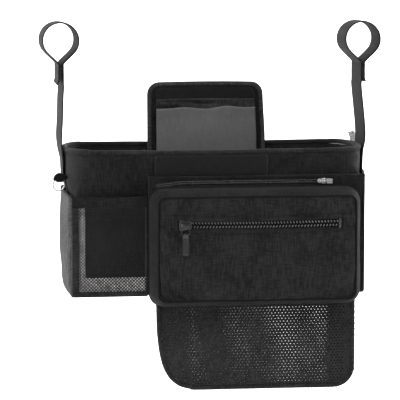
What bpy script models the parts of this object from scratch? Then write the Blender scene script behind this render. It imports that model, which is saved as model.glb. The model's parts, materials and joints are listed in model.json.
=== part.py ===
"""Organizer bag that hangs from a handle by two webbing loops.

A padded tub with two cup wells and a centre pocket carries a zipped front
compartment with a drop-down net, a mesh pocket, a ring on a webbing tab and
a zipped pouch that is pressed on with hook and loop. The origin is on the
common axis of the two strap loops, X runs to the right, Y to the back and
Z up. Lengths are in metres.
"""

import bmesh
import bpy
from math import cos, hypot, pi, radians, sin, tan
from mathutils import Vector

for old in list(bpy.data.objects):
    bpy.data.objects.remove(old, do_unlink=True)

MM = 0.001

# Clearance between two sewn or resting pieces.
SEAM = 0.3 * MM

# Tub
BODY_WIDTH = 300 * MM
BODY_DEPTH = 112 * MM
BODY_HEIGHT = 150.5 * MM
WALL = 3 * MM
RIM_DROP = 108 * MM
RIM_RADIUS = 2.2 * MM
RIM_CORNER = 7 * MM
BOARD_THICK = 1.8 * MM
DIVIDER_THICK = 3 * MM
DIVIDER_DROP = 5 * MM
LEFT_WELL_WIDTH = 79 * MM
RIGHT_WELL_WIDTH = 77 * MM
LINING = 1 * MM
LINING_CORNER = 18 * MM

# Flap that stands open behind the centre pocket
FLAP_SIDE_GAP = 2 * MM
FLAP_TAPER = 3 * MM
FLAP_RISE = 63 * MM
FLAP_TUCK = 58 * MM
FLAP_THICK = 2 * MM
FLAP_CORNER = 13 * MM
FLAP_BINDING = 5 * MM
FLAP_BINDING_THICK = 3 * MM
HOOK_HEIGHT = 11 * MM
HOOK_THICK = 1.2 * MM
FLAP_LINING_DROP = 7 * MM
FLAP_LINING_THICK = 0.8 * MM
FLAP_SIDE_MARGIN = 1.5 * MM

# Loop patch on the front wall
PATCH_LEFT = -66.2 * MM
PATCH_WIDTH = 117.5 * MM
PATCH_HEIGHT = 21 * MM
PATCH_DROP = 1.2 * MM
PATCH_THICK = 1 * MM

# Front compartment and phone pocket
FRONT_GAP = 7 * MM
CLOTH = 1.6 * MM
COMPARTMENT_LEFT = -74 * MM
PHONE_DROP = 46.5 * MM
PHONE_BAND = 11 * MM
PHONE_BINDING = 6.3 * MM
PHONE_BINDING_FOOT = 5 * MM
PHONE_BINDING_THICK = 2.4 * MM
PHONE_CORNER = 8 * MM
PHONE_CELL = 11 * MM
PHONE_HOLE = 7.8 * MM
PHONE_MESH_THICK = 1 * MM
SIDE_WRAP = 1.6 * MM
WRAP_BACK_MARGIN = 2 * MM

# Zips
TOOTH_PITCH = 4 * MM
TOOTH_DEPTH = 2 * MM
TOOTH_CROSSING = 0.8 * MM
TOOTH_SPINE = 0.9 * MM
TAPE_THICK = 0.8 * MM
SLIDER_PLATE = 1.6 * MM
SLIDER_LIFT = 0.3 * MM
BRIDGE_POST = 1 * MM
BRIDGE_ROOM = 1.9 * MM
BRIDGE_WIDTH = 2.2 * MM
PULL_ROOM = 0.35 * MM

# Zip of the front compartment
POCKET_ZIP_LEFT = -65 * MM
POCKET_ZIP_LENGTH = 182 * MM
POCKET_HEM = 2.5 * MM
POCKET_ZIP_HEIGHT = 7.4 * MM
POCKET_SLIDER_X = POCKET_ZIP_LEFT + POCKET_ZIP_LENGTH - 10.5 * MM
POCKET_SLIDER_LENGTH = 9 * MM
POCKET_SLIDER_HEIGHT = 6.6 * MM
POCKET_SLIDER_TRAVEL = 155 * MM
POCKET_PULL_LENGTH = 11 * MM
POCKET_PULL_HEIGHT = 5.4 * MM
POCKET_PULL_THICK = 0.9 * MM
POCKET_BRIDGE_LENGTH = 6 * MM

# Strap loops
STRAP_WIDTH = 38 * MM
STRAP_THICK = 2 * MM
STRAP_TUCK = 25 * MM
STRAP_STANDOFF = 11.5 * MM
LOOP_RADIUS = 17.5 * MM
LOOP_RISE = 3 * MM
LOOP_NECK = 27 * MM
FREE_END = 18 * MM
STRAP_PATCH_THICK = 1.4 * MM

# Ring on its webbing tab
RING_RADIUS = 6 * MM
RING_WIRE = 0.8 * MM
RING_Y = -24 * MM
RING_STANDOFF = 11.5 * MM
RING_DROP = 38.4 * MM
RING_TAB_WIDTH = 6 * MM
RING_TAB_THICK = 1 * MM
RING_TAB_TOP = 7 * MM
RING_ROOM = 0.9 * MM

# Grey tab on the rim beside the right strap
RIM_TAB_Y = 26 * MM
RIM_TAB_WIDTH = 8 * MM
RIM_TAB_LENGTH = 13 * MM
RIM_TAB_THICK = 1.2 * MM
RIM_TAB_LEAN = 34

# Pouch
POUCH_X = 36 * MM
POUCH_CLEAR = 0.6 * MM
POUCH_WIDTH = 221.3 * MM
POUCH_HEIGHT = 124 * MM
POUCH_DEPTH = 26 * MM
POUCH_TAPER = 7.4 * MM
POUCH_CORNER = 16 * MM
POUCH_CLOTH = 2 * MM
BACK_PIPING = 1.5 * MM
FRONT_PIPING = 1.1 * MM
GUSSET_THICK = 1.6 * MM
POUCH_PATCH_WIDTH = 160 * MM
POUCH_PATCH_HEIGHT = 70 * MM
POUCH_ZIP_DROP = 29 * MM
POUCH_ZIP_HEIGHT = 15 * MM
POUCH_ZIP_LEFT = 20.5 * MM
POUCH_ZIP_LENGTH = 166 * MM
POUCH_STOP_LENGTH = 2.4 * MM
POUCH_STOP_HEIGHT = 10 * MM
POUCH_SLIDER_IN = 5.25 * MM
POUCH_SLIDER_LENGTH = 13 * MM
POUCH_SLIDER_HEIGHT = 11.5 * MM
POUCH_SLIDER_TRAVEL = 148 * MM
POUCH_BRIDGE_LENGTH = 7.4 * MM
LINK_WIDTH = 9.4 * MM
LINK_LENGTH = 10.4 * MM
LINK_WIRE = 1 * MM
PULL_WIDTH = 6.8 * MM
PULL_LENGTH = 21.5 * MM
PULL_THICK = 0.8 * MM

# Drop-down net
NET_RIGHT = 142.5 * MM
NET_WIDTH = 208.5 * MM
NET_TAPER = 7 * MM
NET_DROP = 100 * MM
NET_LEFT_CORNER = 60 * MM
NET_RIGHT_CORNER = 22 * MM
NET_THICK = 1 * MM
NET_BINDING = 4 * MM
NET_BINDING_THICK = 2 * MM
NET_CELL_WIDTH = 15.5 * MM
NET_CELL_HEIGHT = 12 * MM
NET_STRAND = 4.4 * MM
NET_GUSSET_THICK = 1 * MM

CORNER_STEPS = 5

# Places that several pieces share
RIM_TOP = -RIM_DROP
BOTTOM = RIM_TOP - BODY_HEIGHT
RIM_CENTRE = RIM_TOP - RIM_RADIUS
WALL_TOP = RIM_CENTRE - RIM_RADIUS - SEAM
HALF_WIDTH = BODY_WIDTH / 2
HALF_DEPTH = BODY_DEPTH / 2
INNER_X = HALF_WIDTH - WALL
INNER_Y = HALF_DEPTH - WALL
FLOOR = BOTTOM + WALL + SEAM
BOARD_TOP = FLOOR + BOARD_THICK
POCKET_BACK = -HALF_DEPTH - FRONT_GAP
POCKET_FRONT = POCKET_BACK - CLOTH
WRAP_INNER = HALF_WIDTH + STRAP_THICK + 2 * SEAM
WRAP_OUTER = WRAP_INNER + SIDE_WRAP
LEFT_DIVIDER = -INNER_X + LEFT_WELL_WIDTH
RIGHT_DIVIDER = INNER_X - RIGHT_WELL_WIDTH
PATCH_TOP = WALL_TOP - PATCH_DROP
COMPARTMENT_TOP = PATCH_TOP - PATCH_HEIGHT - SEAM
POCKET_ZIP_TOP = COMPARTMENT_TOP - POCKET_HEM
POCKET_ZIP_LINE = POCKET_ZIP_TOP - POCKET_ZIP_HEIGHT / 2
PHONE_TOP = RIM_TOP - PHONE_DROP
POUCH_TOP = POCKET_ZIP_LINE - POCKET_SLIDER_HEIGHT / 2 - POUCH_CLEAR


def fabric(name, shade, roughness):
    """Material of one shade of grey fabric."""
    return finish(name, (shade, shade, shade * 1.02), roughness, 0.0)


def finish(name, colour, roughness, metallic):
    """Principled material of one colour."""
    made = bpy.data.materials.new(name)
    made.use_nodes = True
    shader = made.node_tree.nodes["Principled BSDF"]
    shader.inputs["Base Color"].default_value = (*colour, 1.0)
    shader.inputs["Roughness"].default_value = roughness
    shader.inputs["Metallic"].default_value = metallic
    made.diffuse_color = (*colour, 1.0)
    return made


BLACK = fabric("black_oxford", 0.028, 0.78)
BINDING = fabric("binding_tape", 0.04, 0.7)
GREY = fabric("grey_gusset", 0.075, 0.75)
HOOK = fabric("hook_and_loop", 0.012, 0.95)
LINER = fabric("smooth_lining", 0.09, 0.45)
WEBBING = fabric("webbing", 0.02, 0.7)
NETTING = fabric("netting", 0.035, 0.65)
CHAIN = finish("zip_teeth", (0.03, 0.03, 0.032), 0.35, 0.0)
BLACK_METAL = finish("black_metal", (0.05, 0.05, 0.055), 0.3, 1.0)
SILVER = finish("silver_metal", (0.72, 0.72, 0.74), 0.22, 1.0)
LIGHT_GREY = fabric("light_webbing", 0.3, 0.6)


def add(name, mesh, material):
    """Object of a mesh, under the node's name and with its material."""
    mesh.name = name
    mesh.materials.clear()
    mesh.materials.append(material)
    made = bpy.data.objects.new(name, mesh)
    bpy.context.scene.collection.objects.link(made)
    return made


def mesh_of(shape):
    """Mesh of a bmesh, with its faces turned outward."""
    bmesh.ops.recalc_face_normals(shape, faces=shape.faces)
    mesh = bpy.data.meshes.new("shape")
    shape.to_mesh(mesh)
    shape.free()
    return mesh


def box(name, low, high, material):
    """Rectangular panel between two corners."""
    shape = bmesh.new()
    bmesh.ops.create_cube(shape, size=1.0)
    for vertex in shape.verts:
        vertex.co = Vector(
            (high[axis] if vertex.co[axis] > 0 else low[axis]) for axis in range(3)
        )
    return add(name, mesh_of(shape), material)


def slab(outline, low, high, axis=1):
    """Mesh of a flat outline carried from low to high along an axis.

    The outline is in X and Z for axis 1, in Y and Z for axis 0 and in X and
    Y for axis 2.
    """
    shape = bmesh.new()
    rings = []
    for level in (low, high):
        ring = []
        for first, second in outline:
            place = [first, second]
            place.insert(axis, level)
            ring.append(shape.verts.new(place))
        rings.append(ring)
    shape.faces.new(rings[0])
    shape.faces.new(rings[1])
    for index in range(len(outline)):
        after = (index + 1) % len(outline)
        shape.faces.new(
            (rings[0][index], rings[0][after], rings[1][after], rings[1][index])
        )
    return mesh_of(shape)


def stack(rings, closed=False):
    """Mesh lofted through rings of equally many places.

    A closed stack joins its last ring to its first; an open one is capped.
    """
    shape = bmesh.new()
    made = [[shape.verts.new(place) for place in ring] for ring in rings]
    count = len(made[0])
    pairs = list(zip(made, made[1:]))
    if closed:
        pairs.append((made[-1], made[0]))
    else:
        shape.faces.new(made[0])
        shape.faces.new(made[-1])
    for lower, upper in pairs:
        for index in range(count):
            after = (index + 1) % count
            shape.faces.new((lower[index], lower[after], upper[after], upper[index]))
    return mesh_of(shape)


def filleted(corners, radii, steps=CORNER_STEPS):
    """Outline of a polygon whose corners are rounded."""
    outline = []
    count = len(corners)
    for index, radius in enumerate(radii):
        corner = Vector(corners[index])
        before = (Vector(corners[index - 1]) - corner).normalized()
        after = (Vector(corners[(index + 1) % count]) - corner).normalized()
        if radius <= 0:
            outline.append((corner.x, corner.y))
            continue
        half = before.angle(after) / 2
        reach = radius / tan(half)
        centre = corner + (before + after).normalized() * radius / sin(half)
        start = corner + before * reach - centre
        turn = start.angle_signed(corner + after * reach - centre)
        for step in range(steps + 1):
            share = -turn * step / steps
            outline.append(
                (
                    centre.x + start.x * cos(share) - start.y * sin(share),
                    centre.y + start.x * sin(share) + start.y * cos(share),
                )
            )
    return outline


def rounded(centre, width, height, radius, steps=CORNER_STEPS):
    """Outline of a rectangle with four equal round corners."""
    x, z = centre
    half_w, half_h = width / 2, height / 2
    corners = [
        (x - half_w, z - half_h),
        (x + half_w, z - half_h),
        (x + half_w, z + half_h),
        (x - half_w, z + half_h),
    ]
    return filleted(corners, [radius] * 4, steps)


def shifted(outline, distance, closed=True):
    """Outline moved sideways by a distance, to the left of its direction."""
    moved = []
    count = len(outline)
    for index, place in enumerate(outline):
        here = Vector(place)
        before = outline[index - 1] if closed or index else None
        after = outline[(index + 1) % count] if closed or index < count - 1 else None
        turns = []
        if before is not None:
            turns.append((here - Vector(before)).normalized())
        if after is not None:
            turns.append((Vector(after) - here).normalized())
        along = sum(turns, Vector((0.0, 0.0))).normalized()
        normal = Vector((-along.y, along.x))
        stretch = 1.0
        if len(turns) == 2:
            stretch = 1.0 / max(0.5, normal.dot(Vector((-turns[0].y, turns[0].x))))
        moved.append(tuple(here + normal * distance * stretch))
    return moved


def smooth(route, steps=4):
    """Smooth curve through the points of an open route."""
    curve = []
    padded = [route[0], *route, route[-1]]
    for index in range(1, len(padded) - 2):
        ends = [Vector(place) for place in padded[index - 1 : index + 3]]
        for step in range(steps):
            t = step / steps
            place = 0.5 * (
                2 * ends[1]
                + (ends[2] - ends[0]) * t
                + (2 * ends[0] - 5 * ends[1] + 4 * ends[2] - ends[3]) * t * t
                + (3 * ends[1] - ends[0] - 3 * ends[2] + ends[3]) * t * t * t
            )
            curve.append(tuple(place))
    curve.append(tuple(route[-1]))
    return curve


def tube(name, places, radius, material, closed=True, resolution=2):
    """Round cord or piping along a line of places."""
    curve = bpy.data.curves.new(name, "CURVE")
    curve.dimensions = "3D"
    curve.bevel_depth = radius
    curve.bevel_resolution = resolution
    curve.use_fill_caps = not closed
    line = curve.splines.new("POLY")
    line.points.add(len(places) - 1)
    for point, place in zip(line.points, places):
        point.co = (*place, 1.0)
    line.use_cyclic_u = closed
    made = bpy.data.objects.new(name, curve)
    bpy.context.scene.collection.objects.link(made)
    curve.materials.append(material)
    return made


def boolean(target, mesh, operation):
    """Joins a mesh to an object, or cuts it out of it."""
    tool = bpy.data.objects.new("tool", mesh)
    bpy.context.scene.collection.objects.link(tool)
    step = target.modifiers.new("step", "BOOLEAN")
    step.operation = operation
    step.object = tool
    step.solver = "EXACT"
    graph = bpy.context.evaluated_depsgraph_get()
    result = bpy.data.meshes.new_from_object(target.evaluated_get(graph))
    old = target.data
    target.modifiers.clear()
    target.data = result
    result.name = target.name
    bpy.data.meshes.remove(old)
    bpy.data.objects.remove(tool, do_unlink=True)
    return target


def flipped(outline):
    """Outline mirrored from the right side to the left."""
    return [(-x, z) for x, z in outline]


def walls():
    """Padded walls, floor and rim of the tub."""
    box(
        "front_panel",
        (-HALF_WIDTH, -HALF_DEPTH, FLOOR),
        (HALF_WIDTH, -INNER_Y, WALL_TOP),
        BLACK,
    )
    box(
        "back_panel",
        (-HALF_WIDTH, INNER_Y, FLOOR),
        (HALF_WIDTH, HALF_DEPTH, WALL_TOP),
        BLACK,
    )
    for name, side in (("left_side_panel", -1), ("right_side_panel", 1)):
        near, far = sorted((side * INNER_X, side * HALF_WIDTH))
        box(
            name,
            (near, -INNER_Y + SEAM, FLOOR),
            (far, INNER_Y - SEAM, WALL_TOP),
            BLACK,
        )
    box(
        "base_panel",
        (-HALF_WIDTH, -HALF_DEPTH, BOTTOM),
        (HALF_WIDTH, HALF_DEPTH, BOTTOM + WALL),
        BLACK,
    )
    box(
        "base_board",
        (-INNER_X + SEAM, -INNER_Y + SEAM, FLOOR),
        (INNER_X - SEAM, INNER_Y - SEAM, BOARD_TOP),
        HOOK,
    )
    plan = rounded((0, 0), BODY_WIDTH - WALL, BODY_DEPTH - WALL, RIM_CORNER)
    tube("mouth_binding", [(x, y, RIM_CENTRE) for x, y in plan], RIM_RADIUS, BINDING)


def wells():
    """Dividers and linings of the two cup wells."""
    low = BOARD_TOP + SEAM
    high = WALL_TOP - DIVIDER_DROP
    for name, start in (
        ("left_divider", LEFT_DIVIDER),
        ("right_divider", RIGHT_DIVIDER - DIVIDER_THICK),
    ):
        box(
            name,
            (start, -INNER_Y + SEAM, low),
            (start + DIVIDER_THICK, INNER_Y - SEAM, high),
            LINER,
        )
    for name, start, end in (
        ("left_cup_lining", -INNER_X, LEFT_DIVIDER),
        ("right_cup_lining", RIGHT_DIVIDER, INNER_X),
    ):
        width = end - start - 2 * SEAM
        depth = 2 * (INNER_Y - SEAM)
        centre = ((start + end) / 2, 0)
        outer = rounded(centre, width, depth, LINING_CORNER)
        inner = rounded(
            centre, width - 2 * LINING, depth - 2 * LINING, LINING_CORNER - LINING
        )
        rings = [
            [(x, y, low) for x, y in outer],
            [(x, y, high) for x, y in outer],
            [(x, y, high) for x, y in inner],
            [(x, y, low + LINING) for x, y in inner],
        ]
        add(name, stack(rings), LINER)


def flap():
    """Flap of the centre pocket, standing up inside the back wall."""
    top = RIM_TOP + FLAP_RISE
    foot = RIM_TOP - FLAP_TUCK
    pocket_left = LEFT_DIVIDER + DIVIDER_THICK
    pocket_right = RIGHT_DIVIDER - DIVIDER_THICK
    half_foot = (pocket_right - pocket_left) / 2 - FLAP_SIDE_GAP
    half_top = half_foot - FLAP_TAPER
    shift = (pocket_left + pocket_right) / 2
    rim_inside = (BODY_DEPTH - WALL) / 2 - RIM_RADIUS
    front = rim_inside - SEAM - FLAP_BINDING_THICK
    middle = front + FLAP_BINDING_THICK / 2
    corners = [
        (shift - half_foot, foot),
        (shift + half_foot, foot),
        (shift + half_top, top),
        (shift - half_top, top),
    ]
    outer = filleted(corners, [0, 0, FLAP_CORNER, FLAP_CORNER])
    inset = FLAP_BINDING
    inner = filleted(
        [
            (corners[0][0] + inset, foot),
            (corners[1][0] - inset, foot),
            (corners[2][0] - inset, top - inset),
            (corners[3][0] + inset, top - inset),
        ],
        [0, 0, FLAP_CORNER - inset, FLAP_CORNER - inset],
    )
    frame = outer[1:] + [outer[0]] + [inner[0]] + inner[:0:-1]
    add("flap_binding", slab(frame, front, front + FLAP_BINDING_THICK), BINDING)
    gap = inset + SEAM
    panel = filleted(
        [
            (corners[0][0] + gap, foot),
            (corners[1][0] - gap, foot),
            (corners[2][0] - gap, top - gap),
            (corners[3][0] + gap, top - gap),
        ],
        [0, 0, FLAP_CORNER - gap, FLAP_CORNER - gap],
    )
    back = middle + FLAP_THICK / 2
    add("flap_panel", slab(panel, back - FLAP_THICK, back), BLACK)
    face = back - FLAP_THICK - SEAM
    side = half_top - gap - FLAP_SIDE_MARGIN
    hook_top = top - gap - FLAP_SIDE_MARGIN
    hook = rounded(
        (shift, hook_top - HOOK_HEIGHT / 2), 2 * side, HOOK_HEIGHT, 4 * MM
    )
    add("flap_hook_strip", slab(hook, face - HOOK_THICK, face), HOOK)
    box(
        "flap_lining",
        (shift - side, face - FLAP_LINING_THICK, foot),
        (shift + side, face, hook_top - HOOK_HEIGHT - FLAP_LINING_DROP),
        LINER,
    )


def comb(name, left, length, edge, line, up, deep, material):
    """Zip tape with a row of teeth.

    The tape reaches from its sewn edge to the line of the chain, up is 1 for
    the tape above the chain and -1 for the one below, and deep is the Y of
    the middle of the teeth.
    """
    count = int((length - TOOTH_PITCH) / TOOTH_PITCH)
    tooth = TOOTH_PITCH / 2 - SEAM
    start = left + (length - count * TOOTH_PITCH) / 2
    if up < 0:
        start += TOOTH_PITCH / 2
    root = line + up * (TOOTH_CROSSING + SEAM)
    tip = line - up * TOOTH_CROSSING
    back = root + up * TOOTH_SPINE
    outline = [(left, back), (left, root)]
    for index in range(count):
        x = start + index * TOOTH_PITCH
        outline += [(x, root), (x, tip), (x + tooth, tip), (x + tooth, root)]
    outline += [(left + length, root), (left + length, back)]
    made = add(
        name,
        slab(outline, deep - TOOTH_DEPTH / 2, deep + TOOTH_DEPTH / 2),
        material,
    )
    low, high = sorted((edge, back - up * TOOTH_SPINE / 2))
    tape = slab(
        [(left, low), (left + length, low), (left + length, high), (left, high)],
        deep - TAPE_THICK / 2,
        deep + TAPE_THICK / 2,
    )
    return boolean(made, tape, "UNION")


def slider(name, x, z, face, length, height, bridge, along, material):
    """Zip slider: a waisted plate with a bridge for its pull.

    face is the Y of the teeth's front. The bridge spans X when along is 0
    and Z when along is 2.
    """
    back = face - SLIDER_LIFT
    front = back - SLIDER_PLATE
    waist = height * 0.36
    half = length / 2
    outline = filleted(
        [
            (-half, -height / 2),
            (half * 0.1, -height / 2),
            (half, -waist),
            (half, waist),
            (half * 0.1, height / 2),
            (-half, height / 2),
        ],
        [height * 0.16] * 6,
        2,
    )
    made = add(name, slab(outline, back, front), material)
    span = bridge / 2
    rise = front - BRIDGE_ROOM
    crown = rise - BRIDGE_POST
    arch = [
        (-span, back - SLIDER_PLATE / 2),
        (-span, rise),
        (-span + BRIDGE_POST, crown),
        (span - BRIDGE_POST, crown),
        (span, rise),
        (span, back - SLIDER_PLATE / 2),
        (span - BRIDGE_POST, back - SLIDER_PLATE / 2),
        (span - BRIDGE_POST, rise),
        (-span + BRIDGE_POST, rise),
        (-span + BRIDGE_POST, back - SLIDER_PLATE / 2),
    ]
    half_bridge = BRIDGE_WIDTH / 2
    if along == 0:
        loop = slab(arch, -half_bridge, half_bridge, 2)
    else:
        loop = slab([(y, s) for s, y in arch], -half_bridge, half_bridge, 0)
    boolean(made, loop, "UNION")
    made.location = (x, 0, z)
    return made


def hole_plate(outline, hole, low, high):
    """Mesh of a flat piece with one hole through it."""
    outer_low = [(x, low, z) for x, z in outline]
    outer_high = [(x, high, z) for x, z in outline]
    inner_low = [(x, low, z) for x, z in hole]
    inner_high = [(x, high, z) for x, z in hole]
    return stack([outer_low, outer_high, inner_high, inner_low], closed=True)


def hanging_loop(width, length, thick, room):
    """Mesh of a webbing strip folded over a bar at the origin and sewn shut.

    The bar lies along X; the strip hangs down from it to -length.
    """
    inner = room
    outer = room + thick
    steps = 6
    around = [
        (-inner * cos(pi * k / steps), inner * sin(pi * k / steps))
        for k in range(steps + 1)
    ]
    outside = [
        (-outer * cos(pi * k / steps), outer * sin(pi * k / steps))
        for k in range(steps + 1)
    ]
    close = -2.4 * room
    shape = bmesh.new()
    profile = (
        [(-thick, close - 1.2 * outer), (-thick, -length), (thick, -length)]
        + [(thick, close - 1.2 * outer)]
        + outside[::-1]
    )
    bore = [*around[::-1], (0.0, close - 0.2 * thick)]
    rings = []
    for level in (-width / 2, width / 2):
        rings.append(
            (
                [shape.verts.new((level, y, z)) for y, z in profile],
                [shape.verts.new((level, y, z)) for y, z in bore],
            )
        )
    for part in (0, 1):
        near, far = rings[0][part], rings[1][part]
        for index in range(len(near)):
            after = (index + 1) % len(near)
            shape.faces.new((near[index], near[after], far[after], far[index]))
    for outer_ring, bore_ring in rings:
        edges = []
        for ring in (outer_ring, bore_ring):
            for index, vertex in enumerate(ring):
                after = ring[(index + 1) % len(ring)]
                edges.append(shape.edges.get((vertex, after)))
        bmesh.ops.triangle_fill(shape, edges=edges, use_beauty=True)
    return mesh_of(shape)


def compartment():
    """Zipped front compartment with its loop patch."""
    right = WRAP_INNER - SEAM
    top = COMPARTMENT_TOP
    line = POCKET_ZIP_LINE
    above = POCKET_ZIP_TOP
    below = line - POCKET_ZIP_HEIGHT / 2
    zip_right = POCKET_ZIP_LEFT + POCKET_ZIP_LENGTH
    patch = rounded(
        (PATCH_LEFT + PATCH_WIDTH / 2, PATCH_TOP - PATCH_HEIGHT / 2),
        PATCH_WIDTH,
        PATCH_HEIGHT,
        2 * MM,
        2,
    )
    patch_back = -HALF_DEPTH - SEAM
    add("front_loop_patch", slab(patch, patch_back - PATCH_THICK, patch_back), HOOK)
    box(
        "front_pocket_facing",
        (COMPARTMENT_LEFT, POCKET_BACK + SEAM, top - CLOTH),
        (right, -HALF_DEPTH - SEAM, top),
        BLACK,
    )
    box(
        "front_pocket_hem",
        (COMPARTMENT_LEFT, POCKET_FRONT, above),
        (right, POCKET_BACK, top),
        BLACK,
    )
    box(
        "front_pocket_panel",
        (COMPARTMENT_LEFT, POCKET_FRONT, BOTTOM),
        (right, POCKET_BACK, below),
        BLACK,
    )
    for name, start, end in (
        ("front_pocket_zip_end_left", COMPARTMENT_LEFT, POCKET_ZIP_LEFT - SEAM),
        ("front_pocket_zip_end_right", zip_right + SEAM, right),
    ):
        box(
            name,
            (start, POCKET_FRONT, below + SEAM),
            (end, POCKET_BACK, above - SEAM),
            BLACK,
        )
    middle = POCKET_FRONT + TOOTH_DEPTH / 2
    for name, edge, up in (
        ("pocket_zip_upper_tape", above - SEAM, 1),
        ("pocket_zip_lower_tape", below + SEAM, -1),
    ):
        comb(name, POCKET_ZIP_LEFT, POCKET_ZIP_LENGTH, edge, line, up, middle, CHAIN)
    slider(
        "pocket_zip_slider",
        POCKET_SLIDER_X,
        line,
        POCKET_FRONT,
        POCKET_SLIDER_LENGTH,
        POCKET_SLIDER_HEIGHT,
        POCKET_BRIDGE_LENGTH,
        0,
        SILVER,
    )
    pivot = POCKET_FRONT - SLIDER_LIFT - SLIDER_PLATE - BRIDGE_ROOM / 2
    half = POCKET_PULL_THICK / 2
    bar = POCKET_PULL_THICK / 2
    reach = POCKET_BRIDGE_LENGTH / 2 + BRIDGE_POST + PULL_ROOM + BRIDGE_ROOM / 2
    tall = POCKET_PULL_HEIGHT / 2
    eye = BRIDGE_WIDTH / 2 + PULL_ROOM
    outline = rounded(
        ((POCKET_PULL_LENGTH - bar) / 2, 0), POCKET_PULL_LENGTH + bar, 2 * tall, bar
    )
    hole = rounded(((bar + reach) / 2, 0), reach - bar, 2 * eye, bar / 2)
    pull = add("pocket_zip_pull", hole_plate(outline, hole, -half, half), SILVER)
    pull.location = (POCKET_SLIDER_X, pivot, line)


def diamonds(width, height, cell, hole, origin, low, high, fits):
    """Cutter with a staggered field of diamond-shaped holes."""
    shape = bmesh.new()
    rows = int(height / (cell / 2)) + 2
    columns = int(width / cell) + 2
    for row in range(rows):
        for column in range(columns):
            x = origin[0] + (column + (row % 2) / 2) * cell
            z = origin[1] - row * cell / 2
            tips = [
                (x - hole / 2, z),
                (x, z - hole / 2),
                (x + hole / 2, z),
                (x, z + hole / 2),
            ]
            if not all(fits(tip) for tip in tips):
                continue
            near = [shape.verts.new((a, low, b)) for a, b in tips]
            far = [shape.verts.new((a, high, b)) for a, b in tips]
            shape.faces.new(near)
            shape.faces.new(far)
            for index in range(4):
                after = (index + 1) % 4
                shape.faces.new((near[index], near[after], far[after], far[index]))
    return mesh_of(shape)


def phone_pocket():
    """Mesh pocket on the left of the front, with its walls."""
    left = -(WRAP_INNER - SEAM)
    right = COMPARTMENT_LEFT - SEAM
    top = PHONE_TOP
    band_foot = top - PHONE_BAND
    centre = (POCKET_FRONT + POCKET_BACK) / 2
    thick = PHONE_BINDING_THICK / 2
    window_left = left + PHONE_BINDING
    window_foot = BOTTOM + PHONE_BINDING_FOOT
    box(
        "phone_pocket_band",
        (left, POCKET_FRONT, band_foot),
        (right, POCKET_BACK, top),
        BLACK,
    )
    frame_top = band_foot - SEAM
    window = filleted(
        [(window_left, window_foot), (right, window_foot), (window_left, frame_top)],
        [PHONE_CORNER, 0, 0],
    )
    corner = window[: CORNER_STEPS + 1]
    frame = [
        (left, frame_top),
        (left, BOTTOM),
        (right, BOTTOM),
        (right, window_foot),
        *corner[::-1],
        (window_left, frame_top),
    ]
    add("phone_pocket_binding", slab(frame, centre - thick, centre + thick), BINDING)
    mesh_left = window_left + SEAM
    mesh_foot = window_foot + SEAM
    outline = filleted(
        [
            (mesh_left, mesh_foot),
            (right, mesh_foot),
            (right, frame_top),
            (mesh_left, frame_top),
        ],
        [PHONE_CORNER - SEAM, 0, 0, 0],
    )
    half = PHONE_MESH_THICK / 2
    panel = add("phone_pocket_mesh", slab(outline, centre - half, centre + half), NETTING)
    margin = (PHONE_CELL - PHONE_HOLE) / 2
    low_x, high_x = mesh_left + margin, right - margin
    low_z, high_z = mesh_foot + margin, frame_top - margin

    def inside(tip):
        in_box = low_x <= tip[0] <= high_x and low_z <= tip[1] <= high_z
        cut = tip[0] - low_x + tip[1] - low_z < PHONE_CORNER
        return in_box and not cut

    cutter = diamonds(
        high_x - low_x,
        high_z - low_z,
        PHONE_CELL,
        PHONE_HOLE,
        (low_x + PHONE_HOLE / 2, high_z - PHONE_HOLE / 2),
        centre - 2 * half,
        centre + 2 * half,
        inside,
    )
    boolean(panel, cutter, "DIFFERENCE")
    box(
        "pocket_divider",
        (right - CLOTH, POCKET_BACK + thick + SEAM, BOTTOM + CLOTH + SEAM),
        (right, -HALF_DEPTH - SEAM, top),
        BLACK,
    )
    box(
        "phone_pocket_floor",
        (left, POCKET_BACK + thick + SEAM, BOTTOM),
        (right, -HALF_DEPTH - SEAM, BOTTOM + CLOTH),
        BLACK,
    )


def side_wraps():
    """Outer side panels that cover the strap ends."""
    back = HALF_DEPTH - WRAP_BACK_MARGIN
    for name, side, top in (
        ("left_side_wrap", -1, PHONE_TOP),
        ("right_side_wrap", 1, COMPARTMENT_TOP),
    ):
        near, far = sorted((side * WRAP_INNER, side * WRAP_OUTER))
        box(
            name,
            (near, POCKET_FRONT, BOTTOM),
            (far, back, top),
            GREY if side < 0 else BLACK,
        )


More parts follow.
